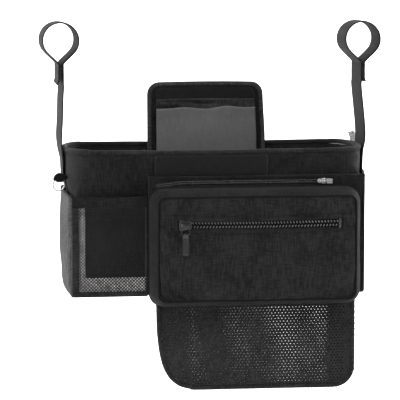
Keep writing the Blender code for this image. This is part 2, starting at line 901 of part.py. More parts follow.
def strap_line():
    """Middle line of the right strap, in X and Z, from its sewn foot up.

    The strap leaves the side wall, stands off the rim, runs up inside the
    handle, round over it and down outside to its free end.
    """
    sewn = HALF_WIDTH + SEAM + STRAP_THICK / 2
    away = HALF_WIDTH + STRAP_STANDOFF
    patch = STRAP_PATCH_THICK + STRAP_THICK + 2 * SEAM
    inner_leg = away - patch
    foot = COMPARTMENT_TOP - STRAP_TUCK
    rise = RIM_TOP - COMPARTMENT_TOP
    neck = LOOP_RISE - LOOP_NECK
    radius = LOOP_RADIUS + STRAP_THICK / 2
    centre = (away - patch / 2, LOOP_RISE)
    free = neck - FREE_END
    route = [
        (sewn, foot),
        (sewn, (foot + COMPARTMENT_TOP) / 2),
        (sewn, COMPARTMENT_TOP),
        (sewn + 0.06 * (away - sewn), COMPARTMENT_TOP + 0.15 * rise),
        (sewn + 0.5 * (away - sewn), COMPARTMENT_TOP + 0.55 * rise),
        (away, RIM_TOP + 0.02 * RIM_DROP),
        (away, RIM_TOP + 0.2 * RIM_DROP),
        (inner_leg, free - 0.35 * FREE_END),
        (inner_leg, free),
        (inner_leg, (free + neck) / 2),
        (inner_leg, neck),
        (inner_leg - 0.5 * STRAP_THICK, neck + 0.15 * LOOP_NECK),
    ]
    for degrees in range(228, -49, -23):
        angle = radians(degrees)
        route.append(
            (centre[0] + radius * cos(angle), centre[1] + radius * sin(angle))
        )
    route += [
        (away + 0.5 * STRAP_THICK, neck + 0.15 * LOOP_NECK),
        (away, neck),
        (away, (free + neck) / 2),
        (away, free + 0.25 * FREE_END),
        (away + 0.7 * STRAP_THICK, free),
    ]
    return route, (inner_leg, away, neck, free)


def straps():
    """Two webbing straps with loops for the handle."""
    route, (inner_leg, away, neck, free) = strap_line()
    line = smooth(route, 3)
    one = shifted(line, STRAP_THICK / 2, closed=False)
    other = shifted(line, -STRAP_THICK / 2, closed=False)
    outline = one + other[::-1]
    half = STRAP_WIDTH / 2
    low = inner_leg + STRAP_THICK / 2 + SEAM
    high = away - STRAP_THICK / 2 - SEAM
    height = 0.6 * FREE_END
    patch = [
        (low, neck - 0.1 * FREE_END - height),
        (high, neck - 0.1 * FREE_END - height),
        (high, neck - 0.1 * FREE_END),
        (low, neck - 0.1 * FREE_END),
    ]
    for side, turn in (("left", flipped), ("right", list)):
        add(f"{side}_strap", slab(turn(outline), -half, half), WEBBING)
        add(f"{side}_strap_patch", slab(turn(patch), -half, half), HOOK)


def ring():
    """Round ring that hangs from a folded webbing tab."""
    x = -(HALF_WIDTH + RING_STANDOFF)
    z = RIM_TOP - RING_DROP
    top = z + RING_RADIUS
    places = []
    for step in range(20):
        angle = 2 * pi * step / 20
        places.append((RING_RADIUS * cos(angle), 0, RING_RADIUS * sin(angle)))
    hoop = tube("key_ring", places, RING_WIRE, SILVER)
    for point in hoop.data.splines[0].points:
        point.co.z -= RING_RADIUS
    hoop.location = (x, RING_Y, top)
    half = RING_TAB_WIDTH / 2
    sag = RING_RADIUS - (RING_RADIUS**2 - half**2) ** 0.5
    room = RING_WIRE + RING_ROOM
    outer = room + RING_TAB_THICK
    low = top - sag - room
    high = top + room
    foot = low - RING_TAB_THICK
    crest = high + RING_TAB_TOP
    ring_y = RING_Y
    profile = filleted(
        [
            (ring_y - outer, foot),
            (ring_y + outer, foot),
            (ring_y + outer, high),
            (ring_y + RING_TAB_THICK, crest),
            (ring_y - RING_TAB_THICK, crest),
            (ring_y - outer, high),
        ],
        [outer * 0.9, outer * 0.9, outer, 0, 0, outer],
        3,
    )
    tab = add("ring_tab", slab(profile, x - half, x + half, 0), WEBBING)
    bore = rounded((ring_y, (low + high) / 2), 2 * room, high - low, room * 0.95, 3)
    boolean(tab, slab(bore, x - half - MM, x + half + MM, 0), "DIFFERENCE")
    dome = filleted(
        [
            (x - half, high + RING_TAB_THICK),
            (-HALF_WIDTH - SEAM, high + RING_TAB_THICK),
            (-HALF_WIDTH - SEAM, crest + RING_TAB_THICK),
            (x - half * 0.6, crest + RING_TAB_THICK),
        ],
        [0, 0, 0, half * 0.7],
    )
    root = slab(dome, ring_y - RING_TAB_THICK, ring_y + RING_TAB_THICK)
    boolean(tab, root, "UNION")


def rim_tab():
    """Short light tab that leans in from the rim by the right strap."""
    lean = radians(RIM_TAB_LEAN)
    along = Vector((-sin(lean), cos(lean)))
    across = Vector((cos(lean), sin(lean)))
    foot = Vector((HALF_WIDTH - WALL / 2, RIM_TOP + SEAM))
    foot += across * RIM_TAB_THICK * 0.2
    half = RIM_TAB_THICK / 2
    ends = [
        foot - across * half,
        foot + across * half,
        foot + along * RIM_TAB_LENGTH + across * half,
        foot + along * RIM_TAB_LENGTH - across * half,
    ]
    drop = RIM_TOP + SEAM - min(end.y for end in ends)
    outline = [(end.x, end.y + drop) for end in ends]
    low = RIM_TAB_Y - RIM_TAB_WIDTH / 2
    add("rim_tab", slab(outline, low, low + RIM_TAB_WIDTH), LIGHT_GREY)


def pouch():
    """Padded pouch pressed onto the front compartment."""
    back = POCKET_FRONT - 2 * PATCH_THICK - 3 * SEAM
    front = back - POUCH_DEPTH
    centre_z = POUCH_TOP - POUCH_HEIGHT / 2
    centre = (POUCH_X, centre_z)
    for name, level in (
        ("pouch_loop_patch", POCKET_FRONT - SEAM),
        ("pouch_hook_patch", POCKET_FRONT - 2 * SEAM - PATCH_THICK),
    ):
        outline = rounded(centre, POUCH_PATCH_WIDTH, POUCH_PATCH_HEIGHT, 3 * MM, 2)
        add(name, slab(outline, level - PATCH_THICK, level), HOOK)

    def at_back(offset):
        return rounded(
            centre,
            POUCH_WIDTH - 2 * offset,
            POUCH_HEIGHT - 2 * offset,
            POUCH_CORNER - offset,
        )

    front_corner = POUCH_CORNER - POUCH_TAPER

    def at_front(offset):
        inset = POUCH_TAPER + offset
        return rounded(
            centre,
            POUCH_WIDTH - 2 * inset,
            POUCH_HEIGHT - 2 * inset,
            front_corner - offset,
        )

    back_seam = back - POUCH_CLOTH / 2
    front_seam = front + POUCH_CLOTH
    tube(
        "pouch_back_piping",
        [(x, back_seam, z) for x, z in at_back(BACK_PIPING)],
        BACK_PIPING,
        BINDING,
    )
    tube(
        "pouch_front_piping",
        [(x, front_seam, z) for x, z in at_front(FRONT_PIPING)],
        FRONT_PIPING,
        BINDING,
    )
    panel = at_back(2 * BACK_PIPING + SEAM)
    add("pouch_back_panel", slab(panel, back - POUCH_CLOTH, back), BLACK)
    half = GUSSET_THICK / 2
    rear = back_seam - BACK_PIPING - SEAM
    fore = front_seam + FRONT_PIPING + SEAM
    rings = []
    for offset in (BACK_PIPING - half, BACK_PIPING + half):
        rings.append([(x, rear, z) for x, z in at_back(offset)])
    for offset in (FRONT_PIPING + half, FRONT_PIPING - half):
        rings.append([(x, fore, z) for x, z in at_front(offset)])
    add("pouch_gusset", stack(rings, closed=True), BLACK)
    pouch_front(centre, front, at_front)


def pouch_front(centre, front, at_front):
    """Front panels of the pouch with the zip between them."""
    inset = 2 * FRONT_PIPING + SEAM
    edge = POUCH_TAPER + inset
    half_w = POUCH_WIDTH / 2 - edge
    left, right = centre[0] - half_w, centre[0] + half_w
    top = centre[1] + POUCH_HEIGHT / 2 - edge
    foot = centre[1] - POUCH_HEIGHT / 2 + edge
    corner = max(POUCH_CORNER - edge, MM)
    above = POUCH_TOP - POUCH_ZIP_DROP
    below = above - POUCH_ZIP_HEIGHT
    upper = filleted(
        [(left, above), (right, above), (right, top), (left, top)],
        [0, 0, corner, corner],
    )
    lower = filleted(
        [(left, foot), (right, foot), (right, below), (left, below)],
        [corner, corner, 0, 0],
    )
    inner = front + POUCH_CLOTH
    add("pouch_front_upper", slab(upper, front, inner), BLACK)
    add("pouch_front_lower", slab(lower, front, inner), BLACK)
    zip_left = left + POUCH_ZIP_LEFT
    zip_right = zip_left + POUCH_ZIP_LENGTH
    slider_x = zip_left + POUCH_SLIDER_IN
    for name, start, end in (
        ("pouch_zip_end_left", left, zip_left - SEAM),
        ("pouch_zip_end_right", zip_right + SEAM, right),
    ):
        box(name, (start, front, below + SEAM), (end, inner, above - SEAM), BLACK)
    line = (above + below) / 2
    middle = front + TOOTH_DEPTH / 2
    for name, sewn, up in (
        ("pouch_zip_upper_tape", above - SEAM, 1),
        ("pouch_zip_lower_tape", below + SEAM, -1),
    ):
        comb(name, zip_left, POUCH_ZIP_LENGTH, sewn, line, up, middle, CHAIN)
    stop_back = front - SEAM
    box(
        "pouch_zip_stop",
        (zip_right - POUCH_STOP_LENGTH, stop_back - MM, line - POUCH_STOP_HEIGHT / 2),
        (zip_right, stop_back, line + POUCH_STOP_HEIGHT / 2),
        CHAIN,
    )
    slider(
        "pouch_zip_slider",
        slider_x,
        line,
        front,
        POUCH_SLIDER_LENGTH,
        POUCH_SLIDER_HEIGHT,
        POUCH_BRIDGE_LENGTH,
        2,
        BLACK_METAL,
    )
    pivot = front - SLIDER_LIFT - SLIDER_PLATE - BRIDGE_ROOM / 2
    wire = LINK_WIRE / 2
    outline = rounded(
        (0, wire - LINK_LENGTH / 2), LINK_WIDTH, LINK_LENGTH, 1.6 * LINK_WIRE, 3
    )
    hole = rounded(
        (0, wire - LINK_LENGTH / 2),
        LINK_WIDTH - 2 * LINK_WIRE,
        LINK_LENGTH - 2 * LINK_WIRE,
        0.6 * LINK_WIRE,
        3,
    )
    link = add("pouch_zip_link", hole_plate(outline, hole, -wire, wire), BLACK_METAL)
    link.location = (slider_x, pivot, line)
    room = wire * 1.42 + SEAM / 2
    tab = hanging_loop(PULL_WIDTH, PULL_LENGTH, PULL_THICK, room)
    pull = add("pouch_zip_pull", tab, WEBBING)
    pull.location = (slider_x, pivot, line - LINK_LENGTH + LINK_WIRE)


def hexagons(low_x, high_x, low_z, high_z, low, high, fits):
    """Cutter with a staggered field of six-sided net openings."""
    shape = bmesh.new()
    half_w = (NET_CELL_WIDTH - NET_STRAND) / 2
    half_h = NET_CELL_HEIGHT - NET_STRAND
    columns = int((high_x - low_x) / NET_CELL_WIDTH) + 2
    rows = int((high_z - low_z) / NET_CELL_HEIGHT) + 2
    for row in range(rows):
        for column in range(columns):
            x = low_x + half_w + (column + (row % 2) / 2) * NET_CELL_WIDTH
            z = high_z - half_h / 2 - row * NET_CELL_HEIGHT
            tips = [
                (x - half_w, z - half_h / 4),
                (x, z - half_h * 0.66),
                (x + half_w, z - half_h / 4),
                (x + half_w, z + half_h / 4),
                (x, z + half_h * 0.66),
                (x - half_w, z + half_h / 4),
            ]
            if not all(fits(tip) for tip in tips):
                continue
            near = [shape.verts.new((a, low, b)) for a, b in tips]
            far = [shape.verts.new((a, high, b)) for a, b in tips]
            shape.faces.new(near)
            shape.faces.new(far)
            for index in range(6):
                after = (index + 1) % 6
                shape.faces.new((near[index], near[after], far[after], far[index]))
    return mesh_of(shape)


def net():
    """Drop-down net bag below the front compartment."""
    right = NET_RIGHT
    left = NET_RIGHT - NET_WIDTH
    top = BOTTOM - SEAM
    foot = BOTTOM - NET_DROP
    corners = [(left + NET_TAPER, foot), (right, foot), (right, top), (left, top)]
    outline = filleted(corners, [NET_LEFT_CORNER, NET_RIGHT_CORNER, 0, 0])
    front = (POCKET_FRONT + POCKET_BACK) / 2
    rear = -HALF_DEPTH - SEAM - NET_BINDING_THICK / 2
    half = NET_THICK / 2
    inset = NET_BINDING + SEAM
    rim = outline[:-2]
    inner_rim = shifted([outline[-1], *rim, outline[-2]], NET_BINDING, closed=False)
    frame = [outline[-1], *rim, outline[-2]]
    inner_rim[0] = (inner_rim[0][0], top)
    inner_rim[-1] = (inner_rim[-1][0], top)
    band = frame + inner_rim[::-1]
    thick = NET_BINDING_THICK / 2
    add("net_binding", slab(band, front - thick, front + thick), BINDING)
    panel_rim = shifted(frame, inset, closed=False)
    panel_rim[0] = (panel_rim[0][0], top)
    panel_rim[-1] = (panel_rim[-1][0], top)
    low_x = min(x for x, z in panel_rim)
    high_x = max(x for x, z in panel_rim)
    low_z = min(z for x, z in panel_rim)
    sides = list(zip(panel_rim, panel_rim[1:]))

    def inside(tip):
        for (x0, z0), (x1, z1) in sides:
            length = hypot(x1 - x0, z1 - z0)
            away = ((x1 - x0) * (tip[1] - z0) - (z1 - z0) * (tip[0] - x0)) / length
            if away < NET_STRAND * 0.4:
                return False
        return tip[1] < top - NET_STRAND * 0.4

    face = add("net_front", slab(panel_rim, front - half, front + half), NETTING)
    holes = hexagons(
        low_x + NET_STRAND / 2,
        high_x,
        low_z,
        top - NET_STRAND / 2,
        front - NET_THICK,
        front + NET_THICK,
        inside,
    )
    boolean(face, holes, "DIFFERENCE")
    add("net_back", slab(band, rear - thick, rear + thick), BINDING)
    add("net_back_panel", slab(panel_rim, rear - half, rear + half), NETTING)
    wall = shifted(frame, NET_GUSSET_THICK, closed=False)
    wall[0] = (wall[0][0], top)
    wall[-1] = (wall[-1][0], top)
    skirt = frame + wall[::-1]
    add(
        "net_gusset",
        slab(skirt, front + thick + SEAM, rear - thick - SEAM),
        NETTING,
    )


walls()
wells()
flap()
compartment()
phone_pocket()
side_wraps()
straps()
ring()
rim_tab()
pouch()
net()
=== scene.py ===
"""Looks of the hanging organizer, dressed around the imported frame.

Every soft part is a sewn shell that sags and puckers, laid over the space that
its solid holds. Sliders, link, pulls and ring are finer pieces on the same
bodies, and only the base board and the zip stop keep their solids.
"""

import json
import logging
import math
from dataclasses import dataclass
from enum import Enum
from typing import ClassVar

import bmesh
import bpy
import numpy as np
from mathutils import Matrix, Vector

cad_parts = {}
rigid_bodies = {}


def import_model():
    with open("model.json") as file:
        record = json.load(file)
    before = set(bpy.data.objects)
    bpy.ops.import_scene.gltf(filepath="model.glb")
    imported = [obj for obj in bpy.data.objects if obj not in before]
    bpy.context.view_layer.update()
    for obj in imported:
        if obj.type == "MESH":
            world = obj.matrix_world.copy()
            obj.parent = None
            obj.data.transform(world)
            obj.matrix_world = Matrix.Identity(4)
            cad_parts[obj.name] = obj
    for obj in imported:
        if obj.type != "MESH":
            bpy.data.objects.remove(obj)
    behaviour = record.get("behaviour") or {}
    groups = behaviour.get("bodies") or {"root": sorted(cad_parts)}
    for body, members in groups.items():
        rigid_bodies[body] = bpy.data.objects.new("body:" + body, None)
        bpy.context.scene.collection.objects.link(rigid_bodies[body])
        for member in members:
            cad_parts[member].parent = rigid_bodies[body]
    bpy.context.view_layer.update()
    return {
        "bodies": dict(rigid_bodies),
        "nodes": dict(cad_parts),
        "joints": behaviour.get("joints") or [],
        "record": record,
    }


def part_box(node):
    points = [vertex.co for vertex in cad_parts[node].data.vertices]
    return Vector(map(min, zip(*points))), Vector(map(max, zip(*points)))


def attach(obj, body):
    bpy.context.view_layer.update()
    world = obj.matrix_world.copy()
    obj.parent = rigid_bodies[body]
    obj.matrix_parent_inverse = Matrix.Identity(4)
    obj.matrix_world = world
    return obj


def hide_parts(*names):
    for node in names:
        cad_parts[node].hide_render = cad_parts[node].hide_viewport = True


MM = 0.001
LOG = logging.getLogger("organizer")
FRONT = np.array([0.0, -1.0, 0.0])
UP = np.array([0.0, 0.0, 1.0])
FIXED = "organizer"
CORNER_STEPS = 8


# ---- Shader maths ----


class Value:
    """A number socket of a node tree that Python's operators work on."""

    def __init__(self, tree: bpy.types.NodeTree, socket: bpy.types.NodeSocket):
        """Wraps a socket.

        Args:
            tree: The node tree that holds the socket.
            socket: The output socket that gives the number.
        """
        self.tree = tree
        self.socket = socket

    def maths(self, operation: str, *others: "Value | float") -> "Value":
        """Adds a Math node that starts from this value.

        Args:
            operation: The Math node's operation.
            others: The values of the node's further sockets.

        Returns:
            The node's result.
        """
        node = self.tree.nodes.new("ShaderNodeMath")
        node.operation = operation
        for place, item in enumerate((self, *others)):
            if isinstance(item, Value):
                self.tree.links.new(item.socket, node.inputs[place])
            else:
                node.inputs[place].default_value = item
        return Value(self.tree, node.outputs[0])

    def __add__(self, other: "Value | float") -> "Value":
        """Sum of two values."""
        return self.maths("ADD", other)

    __radd__ = __add__

    def __sub__(self, other: "Value | float") -> "Value":
        """Difference of two values."""
        return self.maths("SUBTRACT", other)

    def __rsub__(self, other: float) -> "Value":
        """A number less this value."""
        return self * -1.0 + other

    def __mul__(self, other: "Value | float") -> "Value":
        """Product of two values."""
        return self.maths("MULTIPLY", other)

    __rmul__ = __mul__

    def fraction(self) -> "Value":
        """Part after the point."""
        return self.maths("FRACT")

    def whole(self) -> "Value":
        """Whole part below the value."""
        return self.maths("FLOOR")

    def hump(self) -> "Value":
        """Half sine wave over each unit, from 0 up to 1 and back."""
        return (self.fraction() * math.pi).maths("SINE")

    def absolute(self) -> "Value":
        """Size of the value without its sign."""
        return self.maths("ABSOLUTE")


class Nodes:
    """A node tree, with one way to add its nodes."""

    tree: bpy.types.NodeTree

    def node(self, kind: str, settings: dict | None = None, inputs: dict | None = None) -> bpy.types.Node:
        """Adds any node.

        Args:
            kind: The node's type.
            settings: Its properties, set before its sockets.
            inputs: Values or links of its sockets, by name or number.

        Returns:
            The new node.
        """
        made = self.tree.nodes.new(kind)
        for key, setting in (settings or {}).items():
            setattr(made, key, setting)
        for key, item in (inputs or {}).items():
            if isinstance(item, Value):
                item = item.socket
            if isinstance(item, bpy.types.NodeSocket):
                self.tree.links.new(item, made.inputs[key])
            else:
                made.inputs[key].default_value = item
        return made


class Shader(Nodes):
    """The node tree of one material, around a Principled shader."""

    def __init__(self, name: str, laid_on: str):
        """Starts a tree.

        Args:
            name: The material's name.
            laid_on: The coordinates that its patterns are laid on.
        """
        self.material = bpy.data.materials.new(name)
        self.material.use_nodes = True
        self.tree = self.material.node_tree
        self.tree.nodes.clear()
        self.surface = self.node("ShaderNodeBsdfPrincipled")
        output = self.node("ShaderNodeOutputMaterial")
        self.tree.links.new(self.surface.outputs[0], output.inputs["Surface"])
        self.where = self.node("ShaderNodeTexCoord").outputs[laid_on]

    def value(self, socket: bpy.types.NodeSocket) -> Value:
        """Wraps one of the tree's sockets."""
        return Value(self.tree, socket)

    def noise(self, stretch: tuple, detail: float = 2.0) -> Value:
        """Smooth noise, stretched along an axis where asked.

        Args:
            stretch: How often it changes along each axis, per metre.
            detail: The noise's detail.

        Returns:
            The noise, around 0.5.
        """
        mapped = self.node("ShaderNodeMapping", None, {0: self.where, "Scale": stretch})
        made = self.node("ShaderNodeTexNoise", None, {"Vector": mapped.outputs[0], "Scale": 1.0,
            "Detail": detail})
        return self.value(made.outputs["Fac"])

    def tones(self, factor: Value, dark: float, light: float) -> None:
        """Colours the surface between two greys.

        Args:
            factor: 0 for the dark grey and 1 for the light one.
            dark: Linear tone of the low places.
            light: Linear tone of the high places.
        """
        mixed = self.node("ShaderNodeMix", {"data_type": "RGBA", "clamp_factor": True},
            {0: factor, 6: (dark, dark, dark, 1.0), 7: (light, light, light, 1.0)})
        self.tree.links.new(mixed.outputs[2], self.surface.inputs["Base Color"])

    def relief(self, height: Value, depth: float) -> None:
        """Bumps the surface.

        Args:
            height: The height, from 0 to 1.
            depth: The depth of the relief, in metres.
        """
        bump = self.node("ShaderNodeBump", None, {"Strength": 1.0, "Distance": depth, "Height": height})
        self.tree.links.new(bump.outputs[0], self.surface.inputs["Normal"])

    def roughness(self, base: float, change: float, factor: Value) -> None:
        """Roughness that varies with a value around 0.5."""
        rough = (factor - 0.5) * change + base
        self.tree.links.new(rough.socket, self.surface.inputs["Roughness"])

    def constants(self, **numbers: float) -> None:
        """Sets sockets that are the same all over; _ stands for a space."""
        for key, number in numbers.items():
            self.surface.inputs[key.replace("_", " ")].default_value = number


# ---- Finishes ----


class Weave(Enum):
    """How a cloth's threads cross."""

    PLAIN = "plain"
    RIB = "rib"
    TWILL = "twill"
    CHEVRON = "chevron"


@dataclass(frozen=True)
class Finish:
    """What a surface is made of; each kind dresses a shader in its own way."""

    laid_on: ClassVar[str] = "Object"
    name: str
    tone: float

    def dress(self, shader: Shader) -> None:
        """Lays the finish's patterns on a shader."""

    def made(self) -> bpy.types.Material:
        """Builds the material.

        Returns:
            The material.
        """
        shader = Shader(self.name, self.laid_on)
        self.dress(shader)
        return shader.material


@dataclass(frozen=True)
class Cloth(Finish):
    """A woven finish.

    Its pattern runs over the piece's own UV map, which is in metres.
    """

    laid_on: ClassVar[str] = "UV"
    weave: Weave
    pitch: float
    depth: float
    contrast: float = 0.45
    mottle: float = 0.35
    roughness: float = 0.8
    sheen: float = 0.03
    gloss: float = 0.08

    def threads(self, across: Value, along: Value) -> Value:
        """Height of the threads.

        Args:
            across: Place across the cloth, in threads.
            along: Place along the cloth, in threads.

        Returns:
            Height from 0 between threads to 1 on top of one.
        """
        warp, weft = across.hump(), along.hump()
        if self.weave is Weave.PLAIN:
            odd = ((across.whole() + along.whole()) * 0.5).fraction() * 2.0
            flat = weft * (warp * 0.45 + 0.55)
            tall = warp * (weft * 0.45 + 0.55)
            return flat + (tall - flat) * odd
        if self.weave is Weave.RIB:
            return warp * (weft * 0.25 + 0.75)
        if self.weave is Weave.TWILL:
            return (across + along * 0.5).hump() * (weft * 0.35 + 0.65)
        zig = ((across * 0.125).fraction() - 0.5).absolute() * 8.0
        return (along * 0.5 + zig * 0.5).hump() * (warp * 0.4 + 0.6)

    def dress(self, shader: Shader) -> None:
        """Lays the finish's patterns on a shader.

        Args:
            shader: The shader of its material.
        """
        apart = shader.node("ShaderNodeSeparateXYZ", None, {0: shader.where})
        across = shader.value(apart.outputs[0]) * (1.0 / self.pitch)
        along = shader.value(apart.outputs[1]) * (1.0 / self.pitch)
        height = self.threads(across, along)
        slub_across = shader.noise((110.0, 620.0, 620.0), 2.0)
        slub_along = shader.noise((620.0, 80.0, 80.0), 2.0)
        cloud = shader.noise((26.0, 26.0, 26.0), 3.0)
        mottle = slub_across * 0.3 + slub_along * 0.42 + cloud * 0.28
        # The thread height darkens the colour in the gaps between threads, which is painted shade; the
        # mottle is the yarn's own uneven tone.
        factor = (height - 0.5) * self.contrast + 0.5
        factor = factor + (mottle - 0.5) * (15.0 * self.mottle)
        shader.tones(factor, self.tone * 0.4, self.tone * 1.6)
        shader.roughness(self.roughness, 0.3, mottle)
        shader.relief(height * 0.8 + mottle * 1.2, self.depth)
        shader.constants(Sheen_Weight=self.sheen, Sheen_Roughness=0.45, Specular_IOR_Level=self.gloss)
        shader.surface.inputs["Sheen Tint"].default_value = (0.8, 0.8, 0.82, 1.0)


@dataclass(frozen=True)
class Fuzz(Finish):
    """The matted face of a hook strip or a loop patch."""

    scale: float

    def dress(self, shader: Shader) -> None:
        """Lays the finish's patterns on a shader.

        Args:
            shader: The shader of its material.
        """
        cells = shader.node("ShaderNodeTexVoronoi", {"feature": "F1"},
            {"Vector": shader.where, "Scale": self.scale, "Randomness": 0.9})
        tuft = 1.0 - shader.value(cells.outputs["Distance"])
        cloud = shader.noise((60.0, 60.0, 60.0), 5.0)
        fibre = shader.noise((900.0, 900.0, 900.0), 4.0)
        factor = tuft * 0.5 + fibre * 0.5 + (cloud - 0.5) * 0.8
        shader.tones(factor, self.tone * 0.35, self.tone * 1.7)
        shader.roughness(0.95, 0.1, fibre)
        shader.relief(tuft * 0.6 + fibre * 0.6, 0.5 * MM)
        shader.constants(Sheen_Weight=0.12, Sheen_Roughness=0.6, Specular_IOR_Level=0.12)


@dataclass(frozen=True)
class Metal(Finish):
    """Plated or painted metal with fine wear."""

    roughness: float
    metallic: float = 1.0

    def dress(self, shader: Shader) -> None:
        """Lays the finish's patterns on a shader.

        Args:
            shader: The shader of its material.
        """
        scuff = shader.noise((500.0, 3200.0, 500.0), 5.0)
        cloud = shader.noise((160.0, 160.0, 160.0), 3.0)
        shader.tones(scuff * 0.4 + cloud * 0.6, self.tone * 0.72, self.tone * 1.25)
        shader.roughness(self.roughness, 0.3, scuff * 0.5 + cloud * 0.5)
        shader.relief(scuff, 0.03 * MM)
        shader.constants(Metallic=self.metallic, Specular_IOR_Level=0.5)


@dataclass(frozen=True)
class Moulded(Finish):
    """Moulded plastic, such as zip teeth, or a coated board."""

    roughness: float
    gloss: float = 0.5

    def dress(self, shader: Shader) -> None:
        """Lays the finish's patterns on a shader.

        Args:
            shader: The shader of its material.
        """
        grain = shader.noise((1400.0, 1400.0, 1400.0), 3.0)
        cloud = shader.noise((120.0, 120.0, 120.0), 3.0)
        shader.tones(grain * 0.4 + cloud * 0.6, self.tone * 0.7, self.tone * 1.3)
        shader.roughness(self.roughness, 0.25, cloud)
        shader.relief(grain, 0.05 * MM)
        shader.constants(Specular_IOR_Level=self.gloss)


@dataclass(frozen=True)
class Paint(Finish):
    """Plain matt paint for the studio floor."""

    def dress(self, shader: Shader) -> None:
        """Lays the finish's patterns on a shader.

        Args:
            shader: The shader of its material.
        """
        cloud = shader.noise((1.5, 1.5, 1.5), 2.0)
        shader.tones(cloud, self.tone * 0.99, self.tone)
        shader.roughness(0.9, 0.1, cloud)
        shader.constants(Specular_IOR_Level=0.1)


class Finishes:
    """All finishes of the organizer, each made once."""

    def __init__(self) -> None:
        """Makes every material."""
        self.padded = Cloth("oxford_padded", 0.008, Weave.PLAIN, 0.62 * MM, 0.16 * MM)
        self.cloth = Cloth("oxford_black", 0.008, Weave.PLAIN, 0.62 * MM, 0.16 * MM)
        self.pouch = Cloth("oxford_pouch", 0.0095, Weave.PLAIN, 0.7 * MM, 0.2 * MM, mottle=0.45)
        # The pouch's side wall is the same cloth as its front panel, made darker: painted shade that sets
        # the side apart from the lit front.
        self.pouch_side = Cloth("oxford_pouch_side_painted_shade", 0.0078, Weave.PLAIN, 0.7 * MM, 0.2 * MM, mottle=0.3)
        self.piping = Cloth("seam_piping", 0.0035, Weave.RIB, 0.8 * MM, 0.16 * MM)
        self.grey = Cloth("oxford_gusset", 0.036, Weave.PLAIN, 0.6 * MM, 0.15 * MM)
        self.binding = Cloth("grosgrain_tape", 0.0125, Weave.RIB, 0.8 * MM, 0.16 * MM, sheen=0.05)
        self.flap_binding = Cloth("grosgrain_tape_flap", 0.032, Weave.RIB, 0.8 * MM, 0.16 * MM, sheen=0.05)
        self.lining = Cloth("lining_taffeta", 0.011, Weave.PLAIN, 0.35 * MM, 0.05 * MM, roughness=0.5,
            gloss=0.15)
        self.pale_grey = Cloth("turned_in_cloth", 0.75, Weave.PLAIN, 0.6 * MM, 0.15 * MM, roughness=0.8)
        self.flap_lining = Cloth("lining_flap", 0.095, Weave.PLAIN, 0.4 * MM, 0.05 * MM, mottle=0.05,
            roughness=0.5)
        # Darker cloth for the strip between the flap's hook strip and its lining: painted shade of the fold
        # there.
        self.tuck = Cloth("lining_painted_shade", 0.024, Weave.PLAIN, 0.4 * MM, 0.05 * MM, mottle=0.3)
        self.webbing = Cloth("strap_webbing", 0.003, Weave.CHEVRON, 0.9 * MM, 0.3 * MM, sheen=0.05)
        self.light_webbing = Cloth("light_webbing", 0.42, Weave.TWILL, 0.5 * MM, 0.1 * MM)
        self.netting = Cloth("knit_netting", 0.009, Weave.TWILL, 0.3 * MM, 0.08 * MM, gloss=0.2)
        # The back layer is the same black netting, made ten times lighter: painted light, standing in for
        # the light seen through both layers of the net.
        self.back_netting_painted_light = Cloth("knit_netting_back_painted_light", 0.09, Weave.TWILL, 0.3 * MM, 0.08 * MM, gloss=0.2)
        self.tape = Cloth("zip_tape", 0.0028, Weave.TWILL, 0.5 * MM, 0.1 * MM)
        self.thread = Cloth("sewing_thread", 0.006, Weave.TWILL, 0.25 * MM, 0.05 * MM, sheen=0.05)
        self.hook = Fuzz("hook_face", 0.0026, 1100.0)
        self.loop = Fuzz("loop_face", 0.0012, 800.0)
        # The pouch zip's teeth are black; their light grey tone is a painted highlight that stands in for
        # the glints on the teeth.
        self.teeth = Moulded("zip_teeth", 0.1, 0.3, 0.3)
        self.fine_teeth = Moulded("zip_teeth_fine", 0.02, 0.25, 0.5)
        self.board = Moulded("base_board", 0.012, 0.6, 0.3)
        self.black_metal = Metal("black_metal", 0.045, 0.25)
        self.silver = Metal("silver_metal", 0.34, 0.22)
        self._cache: dict[str, bpy.types.Material] = {}

    def of(self, finish: Finish) -> bpy.types.Material:
        """The material of a finish, made on first use.

        Args:
            finish: The finish.

        Returns:
            Its material.
        """
        if finish.name not in self._cache:
            self._cache[finish.name] = finish.made()
        return self._cache[finish.name]


# ---- Meshes ----


def placed(name: str, data: bpy.types.ID) -> bpy.types.Object:
    """Makes an object and adds it to the scene.

    Args:
        name: Its name.
        data: Its mesh, light or camera.

    Returns:
        The new object.
    """
    made = bpy.data.objects.new(name, data)
    bpy.context.scene.collection.objects.link(made)
    return made


def unit(vectors: np.ndarray) -> np.ndarray:
    """The same directions, one unit long."""
    return vectors / np.linalg.norm(vectors, axis=-1, keepdims=True)


def run_along(line: np.ndarray) -> np.ndarray:
    """Distance from a line's start to each of its points."""
    return np.concatenate([[0], np.cumsum(np.linalg.norm(np.diff(line, axis=0), axis=1))])


def cleaned(mesh: bpy.types.Mesh, merge: float) -> None:
    """Merges a mesh's double vertices and turns its faces outwards.

    Args:
        mesh: The mesh.
        merge: Distance under which vertices are merged.
    """
    shape = bmesh.new()
    shape.from_mesh(mesh)
    bmesh.ops.remove_doubles(shape, verts=shape.verts, dist=merge)
    bmesh.ops.recalc_face_normals(shape, faces=shape.faces)
    shape.to_mesh(mesh)
    shape.free()


def lay_uv(mesh: bpy.types.Mesh, uvs: np.ndarray) -> None:
    """Gives a mesh its UV map.

    Args:
        mesh: The mesh.
        uvs: A UV place for each vertex, (n, 2), in metres.
    """
    layer = mesh.uv_layers.new(name="cloth")
    index = np.empty(len(mesh.loops), int)
    mesh.loops.foreach_get("vertex_index", index)
    layer.data.foreach_set("uv", uvs[index].astype(np.float32).ravel())


